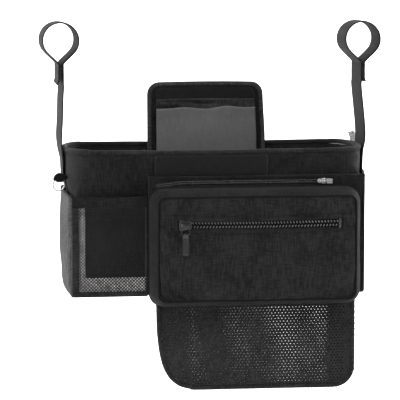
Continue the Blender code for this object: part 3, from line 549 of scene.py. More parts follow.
def mesh_object(name: str, points: np.ndarray, faces: list, uvs: np.ndarray | None = None,
        merge: float = 1e-7) -> bpy.types.Object:
    """Makes a smooth mesh piece whose faces point outwards.

    Args:
        name: The piece's name.
        points: Vertex places, (n, 3).
        faces: Vertex numbers of each face.
        uvs: A UV place for each vertex, (n, 2), in metres.
        merge: Distance under which vertices are merged.

    Returns:
        The new object.
    """
    mesh = bpy.data.meshes.new(name)
    mesh.from_pydata([tuple(p) for p in points], [], faces)
    if uvs is not None:
        lay_uv(mesh, uvs)
    cleaned(mesh, merge)
    mesh.shade_smooth()
    return placed(name, mesh)


def grid_faces(rows: int, columns: int, start: int = 0, wrap: bool = False) -> list:
    """Quads of a grid of vertices.

    Args:
        rows: Number of rows.
        columns: Number of columns.
        start: Number of the grid's first vertex.
        wrap: Whether the last column joins the first.

    Returns:
        Vertex numbers of each quad.
    """
    faces = []
    for row in range(rows - 1):
        for column in range(columns if wrap else columns - 1):
            after = (column + 1) % columns
            a = start + row * columns
            faces.append((a + column, a + after, a + columns + after, a + columns + column))
    return faces


def normals_of(points: np.ndarray, outward: np.ndarray) -> np.ndarray:
    """Unit normals of a grid of points.

    Args:
        points: The grid, (rows, columns, 3).
        outward: A direction that the normals lean towards.

    Returns:
        A unit vector at each point.
    """
    down = np.gradient(points, axis=0)
    across = np.gradient(points, axis=1)
    normal = np.cross(down, across)
    length = np.linalg.norm(normal, axis=2, keepdims=True)
    normal = normal / np.maximum(length, 1e-12)
    if (normal @ outward).sum() < 0:
        normal = -normal
    return normal


def lengths_of(points: np.ndarray) -> np.ndarray:
    """UV places of a grid, in metres along its middle row and column."""
    rows, columns = points.shape[:2]
    return np.stack(np.meshgrid(run_along(points[rows // 2]), run_along(points[:, columns // 2])), axis=2)


def sheet_shell(name: str, face: np.ndarray, thick: float, outward: np.ndarray = FRONT) -> bpy.types.Object:
    """Makes a closed sheet from the grid of its outer face.

    Args:
        name: The piece's name.
        face: Points of the outer face, (rows, columns, 3).
        thick: The cloth's thickness.
        outward: A direction that the outer face looks to.

    Returns:
        The new object.
    """
    rows, columns = face.shape[:2]
    back = face - normals_of(face, outward) * thick
    uv = lengths_of(face).reshape(-1, 2)
    points = np.concatenate([face.reshape(-1, 3), back.reshape(-1, 3)])
    count = rows * columns
    faces = grid_faces(rows, columns)
    faces += [tuple(count + i for i in quad[::-1]) for quad in faces]
    rim = [(0, c) for c in range(columns)]
    rim += [(r, columns - 1) for r in range(1, rows)]
    rim += [(rows - 1, c) for c in range(columns - 2, -1, -1)]
    rim += [(r, 0) for r in range(rows - 2, 0, -1)]
    loop = [r * columns + c for r, c in rim]
    for here, after in zip(loop, loop[1:] + loop[:1]):
        faces.append((here, after, count + after, count + here))
    return mesh_object(name, points, faces, np.concatenate([uv, uv]))


def tube_faces(levels: int, count: int, ends: bool) -> list:
    """Faces of a stack of rings, capped at both ends where asked.

    Args:
        levels: Number of rings.
        count: Points in a ring.
        ends: Whether both ends are capped.

    Returns:
        Vertex numbers of each face.
    """
    faces = grid_faces(levels, count, wrap=True)
    if ends:
        faces.append(tuple(range(count))[::-1])
        faces.append(tuple((levels - 1) * count + i for i in range(count)))
    return faces


def loft(name: str, rings: np.ndarray, ends: bool = True) -> bpy.types.Object:
    """Makes a piece through a stack of closed rings of points.

    Args:
        name: The piece's name.
        rings: The rings, (levels, points in a ring, 3).
        ends: Whether the first and last ring are capped; otherwise the last
            ring joins the first.

    Returns:
        The new object.
    """
    levels, count = rings.shape[:2]
    faces = tube_faces(levels, count, ends)
    if not ends:
        last = (levels - 1) * count
        for here in range(count):
            after = (here + 1) % count
            faces.append((last + here, last + after, after, here))
    closed = np.concatenate([rings, rings[:, :1]], axis=1)
    steps = np.linalg.norm(np.diff(closed, axis=1), axis=2)
    widest = steps[int(np.argmax(steps.sum(axis=1)))]
    u = np.concatenate([[0], np.cumsum(widest)])
    v = run_along(rings[:, 0])
    uv = np.stack(np.meshgrid(u[:-1], v), axis=2).reshape(-1, 2)
    return mesh_object(name, rings.reshape(-1, 3), faces, uv)


def sweep(name: str, line: np.ndarray, section: np.ndarray, facing: np.ndarray,
        closed: bool = False) -> bpy.types.Object:
    """Carries a section along a line.

    Args:
        name: The piece's name.
        line: The line's points, (n, 3).
        section: The section's points, (m, 2): across the facing, and along it.
        facing: The direction that the section's top looks to, one for the
            whole line or one for each point.
        closed: Whether the line is a loop.

    Returns:
        The new object.
    """
    line = np.asarray(line, float)
    if closed:
        tangent = np.roll(line, -1, axis=0) - np.roll(line, 1, axis=0)
    else:
        tangent = np.gradient(line, axis=0)
    tangent = unit(tangent)
    facing = np.broadcast_to(facing, line.shape)
    facing = unit(facing - tangent * (facing * tangent).sum(axis=1, keepdims=True))
    side = np.cross(tangent, facing)
    rings = (line[:, None] + side[:, None] * section[None, :, :1] + facing[:, None] * section[None, :, 1:])
    levels, count = rings.shape[:2]
    if closed:
        rings = np.concatenate([rings, rings[:1]])
        levels += 1
    faces = tube_faces(levels, count, not closed)
    u = run_along(rings[:, 0])
    v = run_along(np.concatenate([section, section[:1]]))
    uv = np.stack(np.meshgrid(v[:-1], u), axis=2)[:, :, ::-1].reshape(-1, 2)
    return mesh_object(name, rings.reshape(-1, 3), faces, uv)


def oval(width: float, thick: float, power: float = 2.6, count: int = 16) -> np.ndarray:
    """A soft flat section, such as a folded tape's.

    Args:
        width: Its width.
        thick: Its thickness.
        power: 2 for an ellipse and more for a squarer section.
        count: Its number of points.

    Returns:
        The points, (count, 2).
    """
    angle = np.linspace(0, 2 * np.pi, count, endpoint=False)
    cos, sin = np.cos(angle), np.sin(angle)
    x = np.sign(cos) * np.abs(cos) ** (2 / power) * width / 2
    y = np.sign(sin) * np.abs(sin) ** (2 / power) * thick / 2
    return np.stack([x, y], axis=1)


def on_circle(centre: tuple, radius: float, degrees: float) -> tuple:
    """The place on a flat circle at an angle."""
    angle = math.radians(degrees)
    return centre[0] + radius * math.cos(angle), centre[1] + radius * math.sin(angle)


def resampled(line: np.ndarray, step: float, closed: bool = False) -> np.ndarray:
    """Evenly spaced points along a line.

    Args:
        line: The line's points, (n, 3).
        step: About how far apart the new points are.
        closed: Whether the line is a loop.

    Returns:
        The new points.
    """
    line = np.asarray(line, float)
    if closed:
        line = np.concatenate([line, line[:1]])
    gone = run_along(line)
    count = max(3, int(round(gone[-1] / step)) + 1)
    places = np.linspace(0, gone[-1], count)
    points = np.stack([np.interp(places, gone, part) for part in line.T], axis=1)
    return points[:-1] if closed else points


def rounded_line(low: tuple, high: tuple, radii: tuple, step: float = 2 * MM,
        closed: bool = True) -> np.ndarray:
    """Outline of a rectangle with rounded corners.

    Args:
        low: Its lowest corner, (across, up).
        high: Its highest corner.
        radii: Corner radii from the low left, anticlockwise.
        step: About how far apart the points are.
        closed: Whether it is a whole loop. Otherwise its top side is left out,
            and it runs from the top left down, along and up again.

    Returns:
        The points, (n, 2).
    """
    corners = [(low[0], low[1], 180), (high[0], low[1], 270), (high[0], high[1], 0), (low[0], high[1], 90)]
    points = []
    if not closed:
        points.append((low[0], high[1]))
        corners = corners[:2]
    for (x, z, start), radius in zip(corners, radii):
        radius = max(radius, 0.05 * MM)
        sign_x = 1 if x == low[0] else -1
        sign_z = 1 if z == low[1] else -1
        centre = (x + sign_x * radius, z + sign_z * radius)
        for part in range(CORNER_STEPS + 1):
            points.append(on_circle(centre, radius, start + part * 90 / CORNER_STEPS))
    if not closed:
        points.append((high[0], high[1]))
    flat = np.array([(x, 0.0, z) for x, z in points])
    return resampled(flat, step, closed)[:, [0, 2]]


def rounded_grid(low: tuple, high: tuple, radii: tuple, step: float = 3 * MM) -> np.ndarray:
    """Grid of points that fills a rectangle with rounded corners.

    Args:
        low: Its lowest corner, (across, up).
        high: Its highest corner.
        radii: Corner radii from the low left, anticlockwise.
        step: About how far apart the points are.

    Returns:
        The points, (rows from the foot up, columns from the left, 2).
    """
    height = high[1] - low[1]
    arcs = np.radians(np.linspace(0, 90, CORNER_STEPS + 1))
    levels = list(np.linspace(0, height, max(3, int(height / step) + 1)))
    for radius in radii[:2]:
        levels += list(radius * (1 - np.cos(arcs)))
    for radius in radii[2:]:
        levels += list(height - radius * (1 - np.cos(arcs)))
    levels = sorted(levels)
    kept = [levels[0]]
    for level in levels[1:]:
        if level - kept[-1] > 0.12 * MM:
            kept.append(level)
    kept[-1] = height

    def drawn_in(level: float, foot: float, top: float) -> float:
        """How far a corner draws the side in at a level.

        Args:
            level: Height above the foot.
            foot: Radius of the lower corner.
            top: Radius of the upper corner.

        Returns:
            The distance.
        """
        for radius, depth in ((foot, level), (top, height - level)):
            if radius > 0 and depth < radius:
                return radius - math.sqrt(max(radius**2 - (radius - depth) ** 2, 0.0))
        return 0.0

    columns = max(3, int((high[0] - low[0]) / step) + 1)
    share = np.linspace(0, 1, columns)
    rows = []
    for level in kept:
        left = low[0] + drawn_in(level, radii[0], radii[3])
        right = high[0] - drawn_in(level, radii[1], radii[2])
        x = left + (right - left) * share
        rows.append(np.stack([x, np.full(columns, low[1] + level)], axis=1))
    return np.array(rows)


def upright(flat: np.ndarray, depth: float | np.ndarray) -> np.ndarray:
    """Stands flat (across, up) points up at a depth, facing the front."""
    depth = np.broadcast_to(depth, flat.shape[:-1])
    return np.stack([flat[..., 0], depth, flat[..., 1]], axis=-1)


def sideways(flat: np.ndarray, across: float | np.ndarray) -> np.ndarray:
    """Stands flat (deep, up) points up at a place across, facing a side."""
    across = np.broadcast_to(across, flat.shape[:-1])
    return np.stack([across, flat[..., 0], flat[..., 1]], axis=-1)


# ---- Folds ----


@dataclass(frozen=True)
class Ripples:
    """Slow, seeded unevenness of cloth, as a sum of long waves."""

    seed: int
    length: float
    waves: int = 9
    lean: float = 0.0
    spread: float = 180.0

    def at(self, across: np.ndarray, along: np.ndarray) -> np.ndarray:
        """Height of the cloth, from about -1 to 1.

        Args:
            across: Places across the cloth.
            along: Places along it.

        Returns:
            The height at each place.
        """
        draws = np.random.default_rng(self.seed)
        height = np.zeros(np.broadcast(across, along).shape)
        for _ in range(self.waves):
            turn = math.radians(self.lean + draws.uniform(-0.5, 0.5) * self.spread)
            size = self.length * draws.uniform(0.55, 1.7)
            start = draws.uniform(0, 2 * math.pi)
            way = across * math.cos(turn) + along * math.sin(turn)
            height += np.sin(way * 2 * math.pi / size + start)
        return height / math.sqrt(self.waves) * 0.8

    def over(self, flat: np.ndarray) -> np.ndarray:
        """Height of the cloth over flat points."""
        return self.at(flat[..., 0], flat[..., 1])


def crease(across: np.ndarray, along: np.ndarray, start: tuple, end: tuple, width: float) -> np.ndarray:
    """A soft ridge between two places, 1 on its line and 0 away from it.

    Args:
        across: Places across the cloth.
        along: Places along it.
        start: The ridge's first end.
        end: Its other end.
        width: How wide it is.

    Returns:
        The ridge's height at each place.
    """
    run = np.array(end, float) - np.array(start, float)
    size = float(np.hypot(*run))
    share = ((across - start[0]) * run[0] + (along - start[1]) * run[1]) / size**2
    near = np.clip(share, 0, 1)
    away = np.hypot(across - start[0] - near * run[0], along - start[1] - near * run[1])
    fade = np.clip(np.sin(np.clip(share, 0.02, 0.98) * np.pi), 0, 1) ** 0.6
    return np.exp(-((away / width) ** 2)) * fade


def eased(value: np.ndarray, low: float, high: float) -> np.ndarray:
    """0 below low, 1 above high, and smooth between them."""
    t = np.clip((value - low) / (high - low), 0, 1)
    return t * t * (3 - 2 * t)


@dataclass(frozen=True)
class Settling:
    """A short cloth simulation that lets a held sheet find its own shape.

    The sheet is a little larger than the frame that holds its pinned points,
    and a light pressure fills it from behind.
    """

    spare: float = 0.01
    pressure: float = 1.0
    frames: int = 20
    bending: float = 0.6
    cap: float = 4 * MM

    def done(self, points: np.ndarray, pinned: np.ndarray, outward: np.ndarray) -> np.ndarray:
        """Runs the simulation.

        Args:
            points: The sheet at rest, (rows, columns, 3).
            pinned: How firmly each point is held, from 0 to 1.
            outward: The direction that the pressure pushes to.

        Returns:
            The settled points, none of them moved further than the cap.
        """
        rows, columns = points.shape[:2]
        faces = grid_faces(rows, columns)
        first = points.reshape(-1, 3)
        quad = faces[len(faces) // 2 + columns // 2]
        normal = np.cross(first[quad[1]] - first[quad[0]], first[quad[3]] - first[quad[0]])
        if normal @ outward < 0:
            faces = [quad[::-1] for quad in faces]
        mesh = bpy.data.meshes.new("settling")
        mesh.from_pydata([tuple(p) for p in first], [], faces)
        cloth_object = placed("settling", mesh)
        group = cloth_object.vertex_groups.new(name="held")
        for number, weight in enumerate(pinned.ravel()):
            group.add([number], float(weight), "REPLACE")
        cloth = cloth_object.modifiers.new("cloth", "CLOTH")
        settings = {"quality": 6, "mass": 0.2, "tension_stiffness": 20, "compression_stiffness": 20,
            "shear_stiffness": 8, "bending_stiffness": self.bending, "shrink_min": -self.spare,
            "use_pressure": True, "uniform_pressure_force": self.pressure, "vertex_group_mass": "held"}
        for key, setting in settings.items():
            setattr(cloth.settings, key, setting)
        cloth.settings.effector_weights.gravity = 0.0
        cloth.collision_settings.use_collision = False
        cloth.point_cache.frame_start = 1
        cloth.point_cache.frame_end = self.frames
        scene = bpy.context.scene
        for number in range(1, self.frames + 1):
            scene.frame_set(number)
        ready = cloth_object.evaluated_get(bpy.context.evaluated_depsgraph_get())
        moved = np.empty(len(first) * 3, np.float32)
        ready.data.vertices.foreach_get("co", moved)
        moved = moved.reshape(-1, 3).astype(float)
        bpy.data.objects.remove(cloth_object)
        scene.frame_set(1)
        shift = moved - first
        far = np.linalg.norm(shift, axis=1, keepdims=True)
        shift *= np.minimum(1.0, self.cap / np.maximum(far, 1e-9))
        return (first + shift).reshape(points.shape)


def held_edges(points: np.ndarray, sides: str = "LRTB") -> np.ndarray:
    """Pin weights that hold a grid by the named sides: L, R, T and B.

    Args:
        points: The grid.
        sides: Letters of the held sides.

    Returns:
        A weight for each point.
    """
    weight = np.zeros(points.shape[:2])
    if "B" in sides:
        weight[0] = 1
    if "T" in sides:
        weight[-1] = 1
    if "L" in sides:
        weight[:, 0] = 1
    if "R" in sides:
        weight[:, -1] = 1
    return weight


# ---- Repeats, made with Geometry Nodes ----


class Pattern(Nodes):
    """A Geometry Nodes tree with named inputs."""

    def __init__(self, name: str, inputs: dict[str, str]):
        """Starts a tree with a geometry input, more inputs and an output.

        Args:
            name: The tree's name.
            inputs: Socket type of each further input, by name.
        """
        self.tree = bpy.data.node_groups.new(name, "GeometryNodeTree")
        face = self.tree.interface
        face.new_socket("Geometry", in_out="OUTPUT", socket_type="NodeSocketGeometry")
        face.new_socket("Geometry", in_out="INPUT", socket_type="NodeSocketGeometry")
        for key, kind in inputs.items():
            face.new_socket(key, in_out="INPUT", socket_type=kind)
        self.start = self.tree.nodes.new("NodeGroupInput")
        self.end = self.tree.nodes.new("NodeGroupOutput")

    def close(self, geometry: bpy.types.NodeSocket) -> None:
        """Ends the tree in Realize Instances and Set Material.

        Args:
            geometry: The socket that gives the result.
        """
        real = self.node("GeometryNodeRealizeInstances", None, {0: geometry})
        coated = self.node("GeometryNodeSetMaterial", None, {"Geometry": real.outputs[0],
            "Material": self.start.outputs["Finish"]})
        self.tree.links.new(coated.outputs[0], self.end.inputs[0])

    def run(self, name: str, base: bpy.types.Object, values: dict) -> bpy.types.Object:
        """Applies the tree to a base object and keeps the result as a mesh.

        Args:
            name: The new piece's name.
            base: The object that the tree starts from; it is removed.
            values: The tree's inputs, by name.

        Returns:
            The new piece.
        """
        modifier = base.modifiers.new("pattern", "NODES")
        modifier.node_group = self.tree
        for item in self.tree.interface.items_tree:
            if item.item_type == "SOCKET" and item.in_out == "INPUT":
                if item.name in values:
                    modifier[item.identifier] = values[item.name]
        graph = bpy.context.evaluated_depsgraph_get()
        mesh = bpy.data.meshes.new_from_object(base.evaluated_get(graph))
        mesh.name = name
        base.modifiers.clear()
        bpy.data.objects.remove(base)
        return placed(name, mesh)


def line_pattern() -> Pattern:
    """Pattern that repeats a prototype along lines.

    Returns:
        The pattern. Each line vertex carries the vector "facing".
    """
    made = Pattern("repeat_along_line", {"Prototype": "NodeSocketObject", "Spacing": "NodeSocketFloat",
        "Turn": "NodeSocketFloat", "Finish": "NodeSocketMaterial"})
    given = made.start.outputs
    curve = made.node("GeometryNodeMeshToCurve", None, {0: given["Geometry"]})
    even = made.node("GeometryNodeResampleCurve", {"mode": "LENGTH"},
        {"Curve": curve.outputs[0], "Length": given["Spacing"]})
    tangent = made.node("GeometryNodeInputTangent")
    facing = made.node("GeometryNodeInputNamedAttribute", {"data_type": "FLOAT_VECTOR"}, {0: "facing"})
    along = made.node("FunctionNodeAlignRotationToVector", {"axis": "X"}, {"Vector": tangent.outputs[0]})
    level = made.node("FunctionNodeAlignRotationToVector", {"axis": "Z", "pivot_axis": "X"},
        {"Rotation": along.outputs[0], "Vector": facing.outputs[0]})
    turned = made.node("FunctionNodeRotateRotation", {"rotation_space": "LOCAL"},
        {"Rotation": level.outputs[0]})
    spin = made.node("FunctionNodeAxisAngleToRotation", None,
        {"Axis": (0.0, 0.0, 1.0), "Angle": given["Turn"]})
    made.tree.links.new(spin.outputs[0], turned.inputs[1])
    shape = made.node("GeometryNodeObjectInfo", None, {0: given["Prototype"]})
    many = made.node("GeometryNodeInstanceOnPoints", None, {"Points": even.outputs[0],
        "Instance": shape.outputs["Geometry"], "Rotation": turned.outputs[0]})
    made.close(many.outputs[0])
    return made


def open_work_pattern() -> Pattern:
    """Pattern that turns points into an open fabric of equal cells.

    Returns:
        The pattern. The base's vertices are the cells' centres, in a flat
        plane that faces Z.
    """
    made = Pattern("open_work", {"Sides": "NodeSocketInt", "Cell": "NodeSocketFloat",
        "Stretch": "NodeSocketVector", "Turn": "NodeSocketFloat", "Hole": "NodeSocketFloat",
        "Finish": "NodeSocketMaterial"})
    given = made.start.outputs
    cell = made.node("GeometryNodeMeshCircle", {"fill_type": "NGON"},
        {"Vertices": given["Sides"], "Radius": given["Cell"]})
    spin = made.node("ShaderNodeCombineXYZ", None, {"Z": given["Turn"]})
    turned = made.node("GeometryNodeTransform", None, {"Geometry": cell.outputs[0],
        "Rotation": spin.outputs[0]})
    pulled = made.node("GeometryNodeTransform", None, {"Geometry": turned.outputs[0],
        "Scale": given["Stretch"]})
    many = made.node("GeometryNodeInstanceOnPoints", None, {"Points": given["Geometry"],
        "Instance": pulled.outputs[0]})
    real = made.node("GeometryNodeRealizeInstances", None, {0: many.outputs[0]})
    inset = made.node("GeometryNodeExtrudeMesh", {"mode": "FACES"},
        {"Mesh": real.outputs[0], "Offset Scale": 0.0, "Individual": True})
    smaller = made.node("GeometryNodeScaleElements", {"domain": "FACE"},
        {"Geometry": inset.outputs["Mesh"], "Selection": inset.outputs["Top"], "Scale": given["Hole"]})
    cut = made.node("GeometryNodeDeleteGeometry", {"domain": "FACE"},
        {"Geometry": smaller.outputs[0], "Selection": inset.outputs["Top"]})
    joined = made.node("GeometryNodeMergeByDistance", None, {"Geometry": cut.outputs[0],
        "Distance": 0.02 * MM})
    made.close(joined.outputs[0])
    return made


def scatter_pattern() -> Pattern:
    """Pattern that strews a prototype over a surface.

    Returns:
        The pattern, with a seed among its inputs.
    """
    made = Pattern("strewn", {"Prototype": "NodeSocketObject", "Apart": "NodeSocketFloat",
        "Density": "NodeSocketFloat", "Seed": "NodeSocketInt", "Finish": "NodeSocketMaterial"})
    given = made.start.outputs
    spread = made.node("GeometryNodeDistributePointsOnFaces", {"distribute_method": "POISSON"},
        {"Mesh": given["Geometry"], "Distance Min": given["Apart"], "Density Max": given["Density"],
        "Seed": given["Seed"]})
    spin = made.node("FunctionNodeRandomValue", {"data_type": "FLOAT_VECTOR"},
        {0: (-0.5, -0.5, 0.0), 1: (0.5, 0.5, 6.283), "Seed": given["Seed"]})
    turned = made.node("FunctionNodeEulerToRotation", None, {0: spin.outputs[0]})
    stood = made.node("FunctionNodeRotateRotation", {"rotation_space": "LOCAL"},
        {"Rotation": spread.outputs["Rotation"]})
    made.tree.links.new(turned.outputs[0], stood.inputs[1])
    shape = made.node("GeometryNodeObjectInfo", None, {0: given["Prototype"]})
    many = made.node("GeometryNodeInstanceOnPoints", None, {"Points": spread.outputs[0],
        "Instance": shape.outputs["Geometry"], "Rotation": stood.outputs[0]})
    made.close(many.outputs[0])
    return made


# ---- The workshop, which dresses and hangs pieces ----


class Workshop:
    """Finishes and patterns that all sub-assemblies share."""

    def __init__(self, nodes: dict[str, bpy.types.Object]):
        """Makes the finishes and the patterns.

        Args:
            nodes: The frame's CAD nodes, by name.
        """
        self.nodes = nodes
        self.finishes = Finishes()
        self.along = line_pattern()
        self.open_work = open_work_pattern()
        self.strewn = scatter_pattern()

    def fit(self, piece: bpy.types.Object, finish: Finish, slot: str, stands_for: tuple = (),
            body: str = FIXED) -> bpy.types.Object:
        """Gives a piece its finish and hangs it on its body.

        Args:
            piece: The piece, in place.
            finish: Its finish.
            slot: The record's material slot; not used.
            stands_for: CAD nodes that it replaces.
            body: The body that it rides on.

        Returns:
            The piece.
        """
        piece.data.materials.clear()
        piece.data.materials.append(self.finishes.of(finish))
        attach(piece, body)
        if stands_for:
            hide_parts(*stands_for)
        LOG.info("%s: %d faces on %s", piece.name, len(piece.data.polygons), body)
        return piece

    def keep(self, node: str, finish: Finish) -> None:
        """Gives a CAD node that stays a better finish.

        Args:
            node: The node's name.
            finish: Its finish.
        """
        kept = self.nodes[node]
        kept.data.materials.clear()
        kept.data.materials.append(self.finishes.of(finish))
        LOG.info("%s keeps its solid", node)

    def line_object(self, lines: list) -> bpy.types.Object:
        """Object of loose lines for the line pattern.

        Args:
            lines: Pairs of a line's points, (n, 3), and its facing.

        Returns:
            The object, with the vector attribute "facing".
        """
        points, edges, facings = [], [], []
        for line, facing in lines:
            start = len(points)
            points += [tuple(p) for p in line]
            edges += [(start + i, start + i + 1) for i in range(len(line) - 1)]
            facings += list(np.broadcast_to(facing, (len(line), 3)))
        mesh = bpy.data.meshes.new("lines")
        mesh.from_pydata(points, edges, [])
        store = mesh.attributes.new("facing", "FLOAT_VECTOR", "POINT")
        store.data.foreach_set("vector", np.array(facings, np.float32).ravel())
        return placed("lines", mesh)

    def repeat(self, name: str, lines: list, prototype: bpy.types.Object, spacing: float, finish: Finish,
            turn: float = 0.0) -> bpy.types.Object:
        """Repeats a prototype along lines.

        Args:
            name: The new piece's name.
            lines: Pairs of a line's points and its facing.
            prototype: The shape that is repeated; it is removed.
            spacing: Distance from one to the next.
            finish: Finish of the result.
            turn: Turn of each one about the facing, in radians.

        Returns:
            The new piece.
        """
        made = self.along.run(name, self.line_object(lines), {"Prototype": prototype, "Spacing": spacing,
            "Turn": turn, "Finish": self.finishes.of(finish)})
        bpy.data.objects.remove(prototype)
        made.data.shade_smooth()
        return made

    def strew(self, name: str, surface: bpy.types.Object, prototype: bpy.types.Object,
            numbers: dict[str, float], finish: Finish) -> bpy.types.Object:
        """Strews a prototype over a surface.

        Args:
            name: The new piece's name.
            surface: The surface.
            prototype: The shape that is strewn; it is removed.
            numbers: The pattern's "Apart", "Density" and "Seed".
            finish: Finish of the result.

        Returns:
            The new piece.
        """
        given = {"Prototype": prototype, "Finish": self.finishes.of(finish), **numbers}
        made = self.strewn.run(name, copy_of(surface), given)
        bpy.data.objects.remove(prototype)
        return self.fit(made, finish, "hook_loop")

    def stitches(self, name: str, lines: list, length: float = 2.4 * MM,
            pitch: float = 3.2 * MM) -> bpy.types.Object:
        """Sews rows of stitches.

        Args:
            name: The new piece's name.
            lines: Pairs of a row's points and its facing.
            length: Length of a stitch.
            pitch: Distance from one stitch to the next.

        Returns:
            The stitches as one piece.
        """
        stations = np.array([-0.5, -0.38, 0.0, 0.38, 0.5])
        sizes = np.array([0.2, 0.8, 1.0, 0.8, 0.2])
        angle = np.linspace(0, 2 * np.pi, 6, endpoint=False)
        rings = np.array([[(station * length, 0.28 * MM * size * math.cos(a),
            0.24 * MM * size * math.sin(a) - 0.1 * MM * abs(station) * 2) for a in angle] for station,
            size in zip(stations, sizes)])
        stitch = loft("stitch", rings)
        made = self.repeat(name, lines, stitch, pitch, self.finishes.thread)
        return self.fit(made, self.finishes.thread, "binding")


@dataclass
class Assembly:
    """A sub-assembly, with the workshop that dresses and hangs its pieces."""

    shop: Workshop

    @property
    def looks(self) -> Finishes:
        """The shared finishes."""
        return self.shop.finishes


# ---- Tub ----


@dataclass
class Tub(Assembly):
    """The padded tub with its rim, dividers and linings."""

    wall: float = 3 * MM
    corner: float = 6 * MM
    foot_corner: float = 5 * MM
    rim_sag: float = 1.6 * MM
    rim_width: float = 5.4 * MM
    rim_thick: float = 5.0 * MM
    end_start: float = 112 * MM
    end_reach: float = 156.6 * MM
    end_power: float = 2.6
    left_rounding: tuple = (-166 * MM, -138 * MM)
    right_rounding: tuple = (-138 * MM, -122 * MM)
    centre_steps: tuple = (0.0, 0.3, 0.6, 0.85, 0.97)

    def rounded_ends(self, plan: np.ndarray, level: float, inset: float) -> np.ndarray:
        """Swells the ends of a plan outwards and rounds their corners.

        Args:
            plan: Plan points, (..., 2), of the square-cornered tub.
            level: The plan's level, on which the swelling depends.
            inset: How far inside the outer face the plan runs.

        Returns:
            The changed points.
        """
        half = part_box("back_panel")[1].y - inset
        reach = self.end_reach - inset - self.end_start
        x, y = plan[..., 0], plan[..., 1]
        along = np.maximum(np.abs(x) - self.end_start, 0)
        power = self.end_power
        size = (along / reach) ** power + (np.abs(y) / half) ** power
        grow = np.where(along > 0, size ** (-1 / power), 1.0)
        new_x = np.where(along > 0, np.sign(x) * (self.end_start + along * grow), x)
        new_y = np.where(along > 0, y * grow, y)
        round_left = eased(np.array(level), *self.left_rounding)
        round_right = eased(np.array(level), *self.right_rounding)
        corner = np.where(x < 0, round_left, round_right)
        share = side_swell(np.array(level)) / side_swell(np.array(0.0))
        side = 1 - eased(np.abs(y) / half, 0.35, 0.9)
        edge = eased(along, 0, 8 * MM) * np.maximum(corner, share * side)
        return np.stack([x + (new_x - x) * edge, y + (new_y - y) * edge], axis=-1)

    def plan(self, inset: float, step: float = 2.4 * MM) -> np.ndarray:
        """Outline of the tub in plan.

        Args:
            inset: How far inside the outer face it runs.
            step: About how far apart its points are.

        Returns:
            The points, (n, 2), in X and Y.
        """
        low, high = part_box("front_panel")[0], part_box("back_panel")[1]
        corner = max(self.corner - inset, 1 * MM)
        return rounded_line((low.x + inset, low.y + inset), (high.x - inset, high.y - inset), (corner,) * 4,
            step)

    def slump(self, plan: np.ndarray, level: np.ndarray) -> np.ndarray:
        """How far the walls lean out at a level, in plan.

        Args:
            plan: Plan points, (n, 2).
            level: Share of the wall's height from the foot, 0 to 1.

        Returns:
            Shifts in X and Y, (levels, n, 2).
        """
        x, y = plan[:, 0], plan[:, 1]
        round_it = np.arctan2(y * 2.6, x)
        wave = Ripples(11, 120 * MM).at(round_it * 150 * MM, level[:, None] * 150 * MM)
        fine = Ripples(12, 60 * MM, lean=35, spread=50).at(round_it * 150 * MM, level[:, None] * 150 * MM)
        held = np.sin(np.clip(level, 0, 1) * np.pi)[:, None] ** 0.7
        out = (wave * 0.5 * MM + fine * 0.25 * MM - 0.6 * MM) * held
        middle = np.abs(x) < 120 * MM
        front = (y < -50 * MM) & middle
        out = out - np.where(front, 0.5 * MM, 0.0) * held
        shift = np.zeros((len(level), len(x), 2))
        side = np.abs(x) > 146 * MM
        shift[:, :, 0] = np.where(side, np.sign(x), 0) * out
        shift[:, :, 1] = np.where(~side, np.sign(y), 0) * out
        return shift

    def walls(self) -> None:
        """The padded walls and base as one sewn shell."""
        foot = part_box("base_panel")[0].z
        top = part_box("front_panel")[1].z
        share = np.concatenate([[0.0], eased(np.linspace(0, 1, 4), -0.4, 1.0) * 0.04])
        share = np.unique(np.concatenate([share, np.linspace(0.05, 1.0, 30)]))
        outer_plan = self.plan(0)
        scale = np.array([(abs(outer_plan[:, 0]).max() - self.wall) / abs(outer_plan[:, 0]).max(),
            (abs(outer_plan[:, 1]).max() - self.wall) / abs(outer_plan[:, 1]).max()])
        inner_plan = outer_plan * scale
        count = len(outer_plan)
        lean = self.slump(outer_plan, share)
        rings = []
        for part in self.centre_steps:
            flat = outer_plan * part
            sag = -0.6 * MM * (1 - part) * np.ones(count)
            rings.append(np.column_stack([flat, foot + 0.7 * MM + sag]))
        for index, part in enumerate(share):
            tuck = self.foot_corner * (1 - math.sqrt(1 - (1 - min(part / 0.03, 1)) ** 2))
            level = foot + part * (top - foot)
            flat = self.rounded_ends(outer_plan + lean[index], level, 0)
            pulled = flat * (1 - tuck / 150 / MM * 0.4)
            rings.append(np.column_stack([pulled, np.full(count, level)]))
        for index in range(len(share) - 1, 1, -3):
            level = foot + share[index] * (top - foot)
            flat = self.rounded_ends(inner_plan + lean[index] * 0.8, level, self.wall)
            rings.append(np.column_stack([flat, np.full(count, level)]))
        for part in (0.96, 0.7, 0.4, 0.0):
            flat = inner_plan * part
            rings.append(np.column_stack([flat, np.full(count, foot + self.wall)]))
        walls = loft("tub_walls", np.array(rings))
        self.shop.fit(walls, self.looks.padded, "fabric_padded",
            ("front_panel", "back_panel", "left_side_panel", "right_side_panel", "base_panel"))

